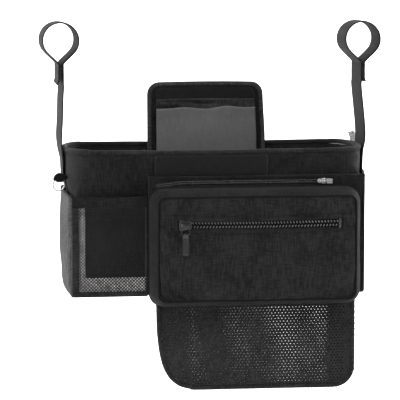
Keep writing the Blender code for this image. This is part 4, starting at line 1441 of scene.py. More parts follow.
    def rim_line(self, step: float = 2.5 * MM) -> np.ndarray:
        """Line of the rim, which sags between its corners.

        Args:
            step: About how far apart its points are.

        Returns:
            The points, (n, 3).
        """
        square = self.plan(self.wall / 2, step)
        plan = self.rounded_ends(square, -100 * MM, self.wall / 2)
        level = (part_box("mouth_binding")[0].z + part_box("mouth_binding")[1].z) / 2
        x, y = plan[:, 0], plan[:, 1]
        dip = np.cos(np.clip(x / (158 * MM), -1, 1) * np.pi / 2) ** 0.8
        sag = -self.rim_sag * dip * (np.abs(y) > 50 * MM)
        wave = Ripples(21, 110 * MM, waves=6).at(x + y * 2.1, y) * 0.35 * MM
        bow = np.where(y < -50 * MM, 0.5 * MM * dip, 0.0)
        return np.column_stack([x, y + bow, level + sag + wave + 0.3 * MM])

    def rim(self) -> None:
        """The binding tape that is folded over the rim, with its stitches."""
        line = self.rim_line()
        shape = oval(self.rim_width, self.rim_thick, 2.4, 18)
        shape = shape[:, ::-1]
        binding = sweep("rim_binding", line, shape, UP, closed=True)
        self.shop.fit(binding, self.looks.binding, "binding", ("mouth_binding",))
        along = np.roll(line, -1, axis=0) - np.roll(line, 1, axis=0)
        side = unit(np.cross(along, UP))
        side *= np.sign((side * line).sum(axis=1, keepdims=True))
        row = line + side * (self.rim_thick / 2) + np.array([0, 0, -1.2 * MM])
        self.shop.stitches("rim_stitches", [(row, side)])

    def dividers(self) -> None:
        """Two padded dividers with bound tops."""
        for name in ("left_divider", "right_divider"):
            low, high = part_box(name)
            flat = rounded_grid(low.yz, high.yz, (0, 0, 2 * MM, 2 * MM))
            swell = Ripples(hash_of(name), 60 * MM).over(flat)
            ends = np.sin((flat[..., 0] - low.y) / (high.y - low.y) * np.pi)
            face = sideways(flat, high.x + swell * 0.5 * MM * ends - 0.1 * MM)
            panel = sheet_shell(name + "_pad", face, self.wall, np.array([1.0, 0, 0]))
            self.shop.fit(panel, self.looks.padded, "fabric_padded", (name,))
            middle = (low.x + high.x) / 2
            line = np.array([(middle, y, high.z - 1.2 * MM - 1.4 * MM * math.sin(math.pi * t)) for t,
                y in zip(np.linspace(0, 1, 30), np.linspace(low.y, high.y, 30))])
            tape = sweep(name + "_tape", line, oval(3.4 * MM, 4.2 * MM), UP)
            self.shop.fit(tape, self.looks.binding, "binding")

    def linings(self) -> None:
        """The cup wells' smooth linings, loose and puckered."""
        for name in ("left_cup_lining", "right_cup_lining"):
            low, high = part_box(name)
            plan = rounded_line((low.x, low.y), (high.x, high.y), (17 * MM,) * 4, 2.4 * MM)
            count = len(plan)
            centre = plan.mean(axis=0)
            rings, turn = [], np.linspace(0, 2 * np.pi, count, endpoint=False)
            shares = np.linspace(1, 0, 26)
            wave = Ripples(hash_of(name), 55 * MM, waves=12, lean=20, spread=120)
            pucker = wave.at(turn[None] * 45 * MM, shares[:, None] * 130 * MM)
            height = high.z - low.z
            for index, part in enumerate(shares):
                depth = 1.6 * MM * math.sin(math.pi * min(part * 1.04, 1.0)) + 0.2 * MM
                reach = (plan - centre) * (1 - 0.012 * (1 - part))
                out = unit(reach)
                flat = centre + reach - out * ((pucker[index] * 0.5 + 0.6) * depth)[:, None]
                level = low.z + height * part
                flat = self.rounded_ends(flat, level, self.wall + 1.2 * MM)
                rings.append(np.column_stack([flat, np.full(count, level)]))
            inner = np.array(rings)
            bottom = []
            for part in (0.85, 0.5, 0.2, 0.0):
                flat = centre + (inner[-1][:, :2] - centre) * part
                level = low.z + 0.4 * MM + 0.5 * MM * (1 - part)
                bottom.append(np.column_stack([flat, np.full(count, level + 0.6 * MM)]))
            outer = inner.copy()
            reach = outer[:, :, :2] - centre
            outer[:, :, :2] = centre + reach * (1 + 0.7 * MM / np.linalg.norm(reach, axis=2, keepdims=True))
            outer[-1, :, 2] -= 0.3 * MM
            floor_out = [np.column_stack([centre + (outer[-1][:, :2] - centre) * part,
                outer[-1][:, 2]]) for part in (0.0, 0.5)]
            stack = np.concatenate([np.array(floor_out), outer[::-1], inner, np.array(bottom)])
            lining = loft(name + "_bag", stack)
            self.shop.fit(lining, self.looks.lining, "lining", (name,))

    def build(self) -> None:
        """Builds and dresses the whole tub."""
        self.walls()
        self.rim()
        self.dividers()
        self.linings()
        self.shop.keep("base_board", self.looks.board)


def hash_of(name: str) -> int:
    """A fixed seed from a piece's name."""
    return sum((place + 1) * ord(letter) for place, letter in enumerate(name)) % 9973


# ---- Zips ----


@dataclass
class Zip(Assembly):
    """A zip's tapes and its two rows of teeth, seen in its slot."""

    name: str
    left: float
    right: float
    line: float
    face: float
    tape_half: float
    tape_nodes: tuple
    row: float = 1.5 * MM
    pitch: float = 1.6 * MM
    tooth: tuple = (3.6 * MM, 1.05 * MM, 1.5 * MM)
    slant: float = 0.5
    sag: float = 0.0
    left_drop: float = 0.0
    teeth: str = "teeth"

    def centre(self, count: int = 60) -> np.ndarray:
        """Middle line of the chain, which sags a little.

        Args:
            count: Its number of points.

        Returns:
            The points, (count, 3).
        """
        share = np.linspace(0, 1, count)
        dip = -self.sag * np.sin(share * np.pi)
        dip -= self.left_drop * np.maximum(1 - share / 0.16, 0) ** 1.4
        x = self.left + (self.right - self.left) * share
        return np.column_stack([x, np.full(count, self.face), self.line + dip])

    def tooth_shape(self) -> bpy.types.Object:
        """One rounded tooth, long across the chain.

        Returns:
            The prototype, around the origin, with its top towards Z.
        """
        length, width, tall = self.tooth
        rings = []
        for station, size in ((-0.5, 0.25), (-0.4, 0.85), (0.0, 1.0), (0.4, 0.95), (0.5, 0.4)):
            section = oval(width * size, tall * size, 2.6, 8)
            rings.append([(across, station * length, up) for across, up in section])
        return loft("tooth", np.array(rings))

    def tapes(self) -> None:
        """The two woven tapes that carry the teeth."""
        middle = self.centre()
        for node, side in zip(self.tape_nodes, (1, -1)):
            share = np.linspace(0, 1, 5)
            rows = []
            for part in share:
                row = middle.copy()
                row[:, 2] += side * (0.3 * MM + part * (self.tape_half - 0.3 * MM))
                row[:, 1] += 0.9 * MM + 0.4 * MM * part
                rows.append(row)
            tape = sheet_shell(node + "_cloth", np.array(rows), 0.5 * MM)
            self.shop.fit(tape, self.looks.tape, "zip_chain", (node,))

    def chain(self) -> None:
        """Two rows of slanted teeth that mesh at the middle."""
        middle = self.centre()
        upper = middle + np.array([0, 0, self.row])
        lower = middle + np.array([self.pitch / 2, 0, -self.row])
        lower = lower[lower[:, 0] < self.right]
        rows = []
        for line, turn, part in ((upper, self.slant, "upper"), (lower, -self.slant, "lower")):
            rows.append(self.shop.repeat(f"{self.name}_{part}", [(line, FRONT)], self.tooth_shape(),
                self.pitch, getattr(self.looks, self.teeth), turn))
        joined = joined_piece(self.name + "_teeth", rows)
        self.shop.fit(joined, getattr(self.looks, self.teeth), "zip_chain")

    def build(self) -> None:
        """Builds the chain and the tapes."""
        self.chain()
        self.tapes()


@dataclass
class Runner(Assembly):
    """A zip's slider: plate, crown and its moving link or pull."""

    finish: Metal
    nodes: tuple
    bodies: tuple
    wide_end: int = 1

    def plate(self) -> None:
        """Waisted plate with turned edges and the crown that bridges it."""
        low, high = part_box(self.nodes[0])
        deep = high.y - low.y
        length, tall = high.x - low.x, high.z - low.z
        middle = (low.z + high.z) / 2
        rings = []
        for part in np.linspace(0, 1, 17):
            x = low.x + length * part
            along = part if self.wide_end > 0 else 1 - part
            waist = 0.74 + 0.26 * eased(np.array(along), 0.35, 0.75)
            end = min(1.0, (min(part, 1 - part) + 0.015) / 0.1) ** 0.5
            section = oval(tall * float(waist) * end, deep * 0.42 * (0.6 + 0.4 * end), 4.0, 20)
            rings.append(np.column_stack([np.full(20, x), high.y - deep * 0.21 - section[:, 1],
                middle + section[:, 0]]))
        plate = loft("plate", np.array(rings))
        share = np.linspace(0, 1, 21)
        arch = np.sin(share * np.pi) ** 0.45
        line = np.column_stack([low.x + length * (0.14 + 0.72 * share),
            high.y - deep * 0.42 - (deep * 0.48) * arch, np.full(21, middle)])
        crown = sweep("crown", line, oval(tall * 0.3, deep * 0.17, 4.0, 14), FRONT)
        piece = joined_piece(self.nodes[0] + "_metal", [plate, crown])
        self.shop.fit(piece, self.finish, "black_metal", (self.nodes[0],), self.bodies[0])

    def link(self) -> None:
        """Wire frame that hangs from the crown."""
        node = self.nodes[1]
        low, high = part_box(node)
        wire = high.y - low.y
        flat = rounded_line((low.x + wire / 2, low.z + wire / 2), (high.x - wire / 2, high.z - wire / 2),
            (1.6 * MM,) * 4, 0.7 * MM)
        frame = sweep(node + "_wire", upright(flat, (low.y + high.y) / 2), oval(wire * 1.05, wire, 2.4, 12),
            FRONT, closed=True)
        self.shop.fit(frame, self.finish, "black_metal", (node,), self.bodies[1])

    def tab(self) -> None:
        """Long pull tab with a raised rim and a loop over the link."""
        node = self.nodes[2]
        low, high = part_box(node)
        wide, deep = high.x - low.x, high.y - low.y
        middle = (low.x + high.x) / 2
        rings = []
        for part in np.linspace(0, 1, 30):
            z = low.z + (high.z - low.z) * part
            end = min(1.0, (min(part, 1 - part) + 0.004) / 0.05) ** 0.5
            loop = float(eased(np.array(part), 0.8, 0.93))
            size = (0.96 - 0.3 * loop) * end
            thick = deep * (0.52 + 0.4 * loop) * (0.5 + 0.5 * end)
            section = oval(wide * size, thick, 5.0, 28)
            hollow = np.exp(-((section[:, 0] / (wide * 0.26)) ** 6)) * 0.34 * MM
            front = section[:, 1] > 0
            section[:, 1] -= np.where(front, hollow * (1 - loop) * end, 0)
            rings.append(np.column_stack([section[:, 0] + middle, (low.y + high.y) / 2 - section[:, 1],
                np.full(28, z)]))
        tab = loft(node + "_tab", np.array(rings))
        self.shop.fit(tab, self.finish, "black_metal", (node,), self.bodies[2])

    def flat_pull(self) -> None:
        """Short flat pull that lies to the right, with a window."""
        node = self.nodes[1]
        low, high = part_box(node)
        wide, tall = high.x - low.x, high.z - low.z
        deep = high.y - low.y
        pieces = []
        bars = (((low.x, low.z), (low.x + wide * 0.3, high.z)),
            ((low.x + wide * 0.44, low.z), (high.x, high.z)), ((low.x + wide * 0.2, low.z + tall * 0.24),
            (low.x + wide * 0.6, low.z + tall * 0.76)))
        for number, (a, b) in enumerate(bars):
            flat = rounded_grid(a, b, (0.7 * MM,) * 4, 0.6 * MM)
            inside = depth_inside(flat, a, b, 0.7 * MM)
            sunk = 0.25 * MM * (1 - eased(inside, 0, 0.5 * MM))
            if number == 2:
                sunk = sunk + deep * 0.35
            pieces.append(sheet_shell(f"bar{number}", upright(flat, low.y + sunk), deep * 0.6))
        pull = joined_piece(node + "_metal", pieces)
        self.shop.fit(pull, self.finish, "silver_metal", (node,), self.bodies[1])


def joined_piece(name: str, pieces: list) -> bpy.types.Object:
    """Joins mesh pieces that have no modifiers into one.

    Args:
        name: The new piece's name.
        pieces: The pieces; they are removed.

    Returns:
        The joined piece.
    """
    shape = bmesh.new()
    for piece in pieces:
        shape.from_mesh(piece.data)
    mesh = bpy.data.meshes.new(name)
    shape.to_mesh(mesh)
    shape.free()
    mesh.shade_smooth()
    for piece in pieces:
        bpy.data.objects.remove(piece)
    return placed(name, mesh)


def depth_inside(flat: np.ndarray, low: tuple, high: tuple, radius: float) -> np.ndarray:
    """How far points lie inside a rounded rectangle.

    Args:
        flat: The points, (..., 2).
        low: The rectangle's lowest corner.
        high: Its highest corner.
        radius: Its corner radius.

    Returns:
        The distance from its edge, positive inside.
    """
    centre = (np.array(low) + np.array(high)) / 2
    half = (np.array(high) - np.array(low)) / 2 - radius
    away = np.abs(flat - centre) - half
    outside = np.linalg.norm(np.maximum(away, 0), axis=-1)
    inside = np.minimum(away.max(axis=-1), 0)
    return radius - outside - inside


def even_loop(low: tuple, high: tuple, radius: float, sides: tuple) -> np.ndarray:
    """Outline of a rounded rectangle with a fixed number of points.

    Args:
        low: Its lowest corner.
        high: Its highest corner.
        radius: Its corner radius.
        sides: Steps along a flat side and along an upright side.

    Returns:
        The points, (n, 2), the same number whatever the size.
    """
    points = []
    corners = ((low[0] + radius, low[1] + radius, 180, sides[0]),
        (high[0] - radius, low[1] + radius, 270, sides[1]), (high[0] - radius, high[1] - radius, 0,
        sides[0]), (low[0] + radius, high[1] - radius, 90, sides[1]))
    for index, (x, z, start, steps) in enumerate(corners):
        for part in range(CORNER_STEPS + 1):
            points.append(on_circle((x, z), radius, start + part * 90 / CORNER_STEPS))
        after = corners[(index + 1) % 4]
        end = np.array(on_circle(after, radius, after[2]))
        here = np.array(points[-1])
        for step in range(1, steps):
            points.append(tuple(here + (end - here) * step / steps))
    return np.array(points)


# ---- Pouch ----


@dataclass
class Pouch(Assembly):
    """The padded pouch on the front, with piped seams and a zip."""

    front_corner: float = 8.6 * MM
    back_corner: float = 16 * MM
    seam_dip: float = 2.2 * MM
    crown: float = 1.2 * MM
    slot_depth: float = 3.0 * MM
    sew_sag: float = 2.2 * MM
    seam_steps: tuple = (64, 34)
    settling: Settling = Settling(spare=0.012, pressure=2.2, cap=3.2 * MM, bending=1.5)

    def __post_init__(self) -> None:
        """Reads the space that the solids hold."""
        self.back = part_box("pouch_back_piping")
        self.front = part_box("pouch_front_piping")
        self.upper_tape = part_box("pouch_zip_upper_tape")
        self.lower_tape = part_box("pouch_zip_lower_tape")
        self.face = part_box("pouch_front_lower")[0].y
        self.line = (self.upper_tape[1].z + self.lower_tape[0].z) / 2

    def lips(self, x: np.ndarray) -> tuple[np.ndarray, np.ndarray]:
        """Levels of the slot's lower and upper lip.

        Args:
            x: Places across.

        Returns:
            The two levels at each place.
        """
        left, right = self.upper_tape[0].x, self.upper_tape[1].x
        share = np.clip((x - left) / (right - left), 0, 1)
        droop = np.sin(share * np.pi)
        low = self.line - (3.6 + 1.9 * share + 1.1 * droop) * MM
        high = self.line + (3.4 + 1.7 * share - 1.0 * droop) * MM
        return low, high

    def panel(self) -> None:
        """Front panel: crowned cloth that dips at the seams and the slot."""
        low = (self.front[0].x + 1 * MM, self.front[0].z + 1 * MM)
        high = (self.front[1].x - 1 * MM, self.front[1].z - 1 * MM)
        flat = rounded_grid(low, high, (self.front_corner - 1 * MM,) * 4, 1.5 * MM)
        inside = depth_inside(flat, low, high, self.front_corner - 1 * MM)
        rise = eased(inside, 0, 5.5 * MM) ** 0.7
        depth = self.face + self.seam_dip * (1 - rise)
        points = upright(flat, depth)
        x, z = flat[..., 0], flat[..., 1]
        left, right = self.upper_tape[0].x, self.upper_tape[1].x
        foot, top = self.lips(x)
        ends = eased(x, left - 3 * MM, left + 1 * MM) * (1 - eased(x, right - 1 * MM, right + 3 * MM))
        near = np.maximum(foot - z, z - top)
        held = np.maximum(held_edges(points), (1 - eased(near, 3 * MM, 12 * MM)) * ends)
        settled = self.settling.done(points, held, FRONT)
        shift = settled - points
        cloth = Ripples(31, 52 * MM, waves=12).at(x, z) * 0.35 * MM
        cloth += Ripples(32, 26 * MM, waves=12, lean=0, spread=50).at(x, z) * 0.16 * MM
        loose = eased(inside, 2 * MM, 18 * MM)
        points = points + shift
        points[..., 1] -= self.crown * eased(inside, 0, 45 * MM)
        points[..., 1] -= cloth * loose
        points[..., 1] -= self.folds(x, z) * loose
        for level in self.sewn_levels(x):
            dip = np.exp(-(((z - level) / (0.9 * MM)) ** 2))
            points[..., 1] += 1.5 * MM * dip * loose
        lips = np.exp(-((near / (2.0 * MM)) ** 2)) * (near > -0.5 * MM)
        points[..., 1] -= lips * 0.5 * MM * ends
        slot = (1 - eased(near, -1.3 * MM, 0.4 * MM)) * ends
        level = self.face + self.slot_depth
        points[..., 1] = points[..., 1] * (1 - slot) + level * slot
        panel = sheet_shell("pouch_front", points, 1.6 * MM)
        self.shop.fit(panel, self.looks.pouch, "fabric_black", ("pouch_front_upper", "pouch_front_lower",
            "pouch_zip_end_left", "pouch_zip_end_right"))
        self.sew(points, flat)

    def folds(self, x: np.ndarray, z: np.ndarray) -> np.ndarray:
        """Shallow creases that run from the seams and the slider.

        Args:
            x: Places across.
            z: Levels.

        Returns:
            The creases' height at each place.
        """
        lines = (((-30, -176), (60, -170), 5, 0.5), ((20, -196), (30, -236), 7, -0.5),
            ((-58, -200), (-40, -250), 8, 0.6), ((70, -198), (84, -246), 9, -0.4),
            ((118, -196), (108, -250), 8, 0.5), ((-60, -258), (10, -250), 5, 0.5),
            ((60, -256), (132, -250), 5, 0.45), ((-62, -160), (-36, -172), 4, 0.5))
        height = np.zeros_like(x)
        for start, end, width, rise in lines:
            height += rise * MM * crease(x, z, (start[0] * MM, start[1] * MM), (end[0] * MM, end[1] * MM),
                width * MM)
        return height

    def sewn_levels(self, x: np.ndarray) -> tuple[np.ndarray, np.ndarray]:
        """Levels of the sewn rows above and below the slot.

        Args:
            x: Places across.

        Returns:
            The two levels at each place.
        """
        left, right = self.upper_tape[0].x, self.upper_tape[1].x
        share = np.clip((x - left) / (right - left), 0, 1)
        droop = np.sin(share * np.pi)
        above = self.line + (9.9 - self.sew_sag / MM * droop) * MM
        below = self.line - (7.6 + 2.6 * droop) * MM
        return above, below

    def sew(self, points: np.ndarray, flat: np.ndarray) -> None:
        """Rows of stitches above and below the slot.

        Args:
            points: The panel's outer face.
            flat: The grid that it was made from.
        """
        rows = []
        middle = flat[:, flat.shape[1] // 2, 1]
        xs = flat[flat.shape[0] // 2, :, 0]
        for levels in self.sewn_levels(xs):
            line = []
            for column in range(4, len(xs) - 4):
                index = int(np.clip(np.searchsorted(middle, levels[column]), 1, len(middle) - 1))
                low, high = middle[index - 1], middle[index]
                share = (levels[column] - low) / (high - low)
                place = points[index - 1, column] * (1 - share) + points[index, column] * share
                line.append(place + FRONT * 0.12 * MM)
            rows.append((np.array(line), FRONT))
        self.shop.stitches("pouch_stitches", rows)

    def gusset(self) -> None:
        """Side wall that runs round the pouch, swelling between its seams."""
        levels = np.linspace(0, 1, 15)
        rings = []
        for part in levels:
            low = (self.front[0].x + (self.back[0].x - self.front[0].x) * part,
                self.front[0].z + (self.back[0].z - self.front[0].z) * part)
            high = (self.front[1].x + (self.back[1].x - self.front[1].x) * part,
                self.front[1].z + (self.back[1].z - self.front[1].z) * part)
            radius = self.front_corner + (self.back_corner - self.front_corner) * part
            swell = 2.4 * MM * math.sin(math.pi * part) - 1.2 * MM
            loop = even_loop((low[0] - swell, low[1] - swell), (high[0] + swell, high[1] + swell),
                radius + swell, self.seam_steps)
            depth = self.front[0].y + 1.4 * MM + (self.back[0].y - self.front[0].y) * part
            round_it = np.arange(len(loop)) / len(loop)
            wave = Ripples(41, 50 * MM, waves=10).at(round_it * 640 * MM, np.full(len(loop), part * 26 * MM))
            centre = loop.mean(axis=0)
            out = unit(loop - centre)
            loop = loop + out * (wave * 0.55 * MM * math.sin(math.pi * part))[:, None]
            rings.append(upright(loop, depth))
        outer = np.array(rings)
        inner = outer[::-1].copy()
        centre = inner.mean(axis=(0, 1))
        reach = inner - centre
        reach[..., 1] = 0
        inner = inner - reach / np.linalg.norm(reach, axis=2, keepdims=True) * 1.4 * MM
        gusset = loft("pouch_side", np.concatenate([outer, inner]), ends=False)
        # Its cloth is a darker copy of the front panel's: painted shade on the side wall.
        self.shop.fit(gusset, self.looks.pouch_side, "fabric_black", ("pouch_gusset",))

    def seams(self) -> None:
        """Piping along the front and the back seam, and the back panel."""
        for box, corner, name, thick in ((self.front, self.front_corner, "pouch_front_piping", 2.1 * MM),
                (self.back, self.back_corner, "pouch_back_piping", 2.8 * MM)):
            inset = thick / 2
            loop = even_loop((box[0].x + inset, box[0].z + inset), (box[1].x - inset, box[1].z - inset),
                corner - inset, self.seam_steps)
            depth = (box[0].y + box[1].y) / 2
            wave = Ripples(hash_of(name), 70 * MM).over(loop) * 0.25 * MM
            cord = sweep(name + "_cord", upright(loop, depth + wave), oval(thick, thick, 2.0, 12), FRONT,
                closed=True)
            self.shop.fit(cord, self.looks.piping, "binding", (name,))
        low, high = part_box("pouch_back_panel")
        flat = rounded_grid((low.x - 2 * MM, low.z - 2 * MM), (high.x + 2 * MM, high.z + 2 * MM),
            (self.back_corner - 1.5 * MM,) * 4, 4 * MM)
        cloth = Ripples(44, 80 * MM).over(flat) * 0.3 * MM
        back = sheet_shell("pouch_back", upright(flat, high.y - 0.4 * MM + cloth), 1.6 * MM, -FRONT)
        self.shop.fit(back, self.looks.cloth, "fabric_black", ("pouch_back_panel",))

    def patches(self) -> None:
        """Hook and loop patches between the pouch and the compartment."""
        for node, finish, side in (("pouch_hook_patch", self.looks.hook, -FRONT),
                ("pouch_loop_patch", self.looks.loop, FRONT)):
            low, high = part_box(node)
            flat = rounded_grid(low.xz, high.xz, (3 * MM,) * 4, 5 * MM)
            face = high.y if side[1] > 0 else low.y
            patch = sheet_shell(node + "_cloth", upright(flat, face), 1 * MM, side)
            self.shop.fit(patch, finish, "hook_loop", (node,))

    def fastener(self) -> None:
        """The pouch's zip, its end stop and its metal parts."""
        Zip(self.shop, "pouch_zip", self.upper_tape[0].x, self.upper_tape[1].x, self.line,
            self.face + 1.5 * MM, 6.4 * MM, ("pouch_zip_upper_tape", "pouch_zip_lower_tape"), row=2.0 * MM,
            pitch=3.2 * MM, tooth=(2.6 * MM, 1.15 * MM, 1.8 * MM), sag=0.8 * MM).build()
        self.shop.keep("pouch_zip_stop", self.looks.fine_teeth)
        nodes = ("pouch_zip_slider", "pouch_zip_link", "pouch_zip_pull")
        bodies = ("pouch_slider", "pouch_link", "pouch_pull")
        runner = Runner(self.shop, self.looks.black_metal, nodes, bodies, -1)
        runner.plate()
        runner.link()
        runner.tab()

    def build(self) -> None:
        """Builds and dresses the whole pouch."""
        self.panel()
        self.gusset()
        self.seams()
        self.patches()
        self.fastener()


# ---- Front compartment and phone pocket ----


@dataclass
class Compartment(Assembly):
    """The zipped front compartment and the loop patch above it."""

    slot_depth: float = 1.3 * MM
    settling: Settling = Settling(spare=0.01, pressure=0.8, cap=1.5 * MM)

    def front(self) -> None:
        """Front sheet with the slot for the zip."""
        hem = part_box("front_pocket_hem")
        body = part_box("front_pocket_panel")
        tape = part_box("pocket_zip_upper_tape")
        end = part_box("front_pocket_zip_end_right")
        low, high = (body[0].x, body[0].z), (hem[1].x, hem[1].z)
        flat = rounded_grid(low, high, (2 * MM, 3 * MM, 1 * MM, 1 * MM), 2.0 * MM)
        x, z = flat[..., 0], flat[..., 1]
        extra = [end[1].z, end[0].z]
        near = np.maximum(extra[1] - z, z - extra[0])
        ends = eased(x, tape[0].x - 2 * MM, tape[0].x + 2 * MM) * (1 - eased(x, tape[1].x - 2 * MM,
            tape[1].x + 2 * MM))
        cloth = Ripples(51, 60 * MM, waves=10).at(x, z) * 0.3 * MM
        top_bow = 0.5 * MM * np.sin((x - low[0]) / (high[0] - low[0]) * np.pi * 3)
        depth = body[0].y + 0.2 * MM - np.where(z > extra[1], 0, cloth)
        depth = depth - top_bow * eased(z, extra[0] - 6 * MM, high[1])
        slot = (1 - eased(near, -1.2 * MM, 0.3 * MM)) * ends
        depth = depth * (1 - slot) + (body[0].y + self.slot_depth) * slot
        sheet = sheet_shell("compartment_front", upright(flat, depth), 1.2 * MM)
        self.shop.fit(sheet, self.looks.cloth, "fabric_black", ("front_pocket_hem", "front_pocket_panel",
            "front_pocket_zip_end_left", "front_pocket_zip_end_right"))
        row = np.array([(x, body[0].y - 0.15 * MM, extra[0] + 1.2 * MM) for x in np.linspace(low[0] + 3 * MM,
            high[0] - 3 * MM, 40)])
        lower = row - np.array([0, 0, extra[0] - extra[1] + 2.6 * MM])
        self.shop.stitches("compartment_stitches", [(row, FRONT), (lower, FRONT)])

    def facing(self) -> None:
        """Strip that closes the compartment to the wall."""
        low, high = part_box("front_pocket_facing")
        share = np.linspace(0, 1, 7)
        across = np.linspace(low.x, high.x, 80)
        rows = []
        for part in share:
            depth = low.y - 0.4 * MM + (high.y - low.y + 0.4 * MM) * part
            level = high.z - 0.9 * MM * math.sin(math.pi * part)
            wave = Ripples(53, 50 * MM).at(across, np.full(80, part * 10 * MM))
            rows.append(np.column_stack([across, np.full(80, depth), level + wave * 0.2 * MM]))
        strip = sheet_shell("compartment_facing", np.array(rows), 1.0 * MM, UP)
        self.shop.fit(strip, self.looks.cloth, "fabric_black", ("front_pocket_facing",))

    def patch(self) -> None:
        """Loop patch on the front wall, rough with strewn loops."""
        low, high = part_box("front_loop_patch")
        flat = rounded_grid(low.xz, high.xz, (3 * MM,) * 4, 1.8 * MM)
        x, z = flat[..., 0], flat[..., 1]
        wave = Ripples(54, 40 * MM).at(x, z) * 0.25 * MM
        inside = depth_inside(flat, (low.x, low.z), (high.x, high.z), 3 * MM)
        depth = low.y + 0.5 * MM * (1 - eased(inside, 0, 1.5 * MM)) + wave * 0.5
        patch = sheet_shell("loop_patch", upright(flat, depth), 1.0 * MM)
        pile = self.shop.strew("loop_patch_pile", patch, tuft_shape(),
            {"Apart": 0.8 * MM, "Density": 900000.0, "Seed": 7}, self.looks.loop)
        self.shop.fit(patch, self.looks.loop, "hook_loop", ("front_loop_patch",))

    def fastener(self) -> None:
        """The compartment's zip and its silver slider and pull."""
        upper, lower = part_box("pocket_zip_upper_tape"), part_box("pocket_zip_lower_tape")
        Zip(self.shop, "compartment_zip", upper[0].x, upper[1].x, (upper[1].z + lower[0].z) / 2,
            upper[0].y + 0.6 * MM, 3.2 * MM, ("pocket_zip_upper_tape", "pocket_zip_lower_tape"),
            row=1.0 * MM, pitch=1.6 * MM, tooth=(2.2 * MM, 1.0 * MM, 1.3 * MM), left_drop=3.4 * MM,
            teeth="fine_teeth").build()
        nodes = ("pocket_zip_slider", "pocket_zip_pull")
        bodies = ("pocket_slider", "pocket_pull")
        runner = Runner(self.shop, self.looks.silver, nodes, bodies, 1)
        runner.plate()
        runner.flat_pull()

    def build(self) -> None:
        """Builds and dresses the compartment."""
        self.front()
        self.facing()
        self.patch()
        self.fastener()


def copy_of(piece: bpy.types.Object) -> bpy.types.Object:
    """A linked copy of a piece with its own mesh.

    Args:
        piece: The piece.

    Returns:
        Its copy.
    """
    made = piece.copy()
    made.data = piece.data.copy()
    bpy.context.scene.collection.objects.link(made)
    return made


def tuft_shape() -> bpy.types.Object:
    """A tiny bent loop of pile.

    Returns:
        The prototype, standing on the origin towards Z.
    """
    line = np.array([(-0.25, 0, 0), (-0.3, 0, 0.35), (0, 0.05, 0.6), (0.3, 0, 0.35), (0.25, 0, 0)])
    return sweep("tuft", line * MM, oval(0.14 * MM, 0.14 * MM, 2.0, 3), np.array([0, 1.0, 0]))


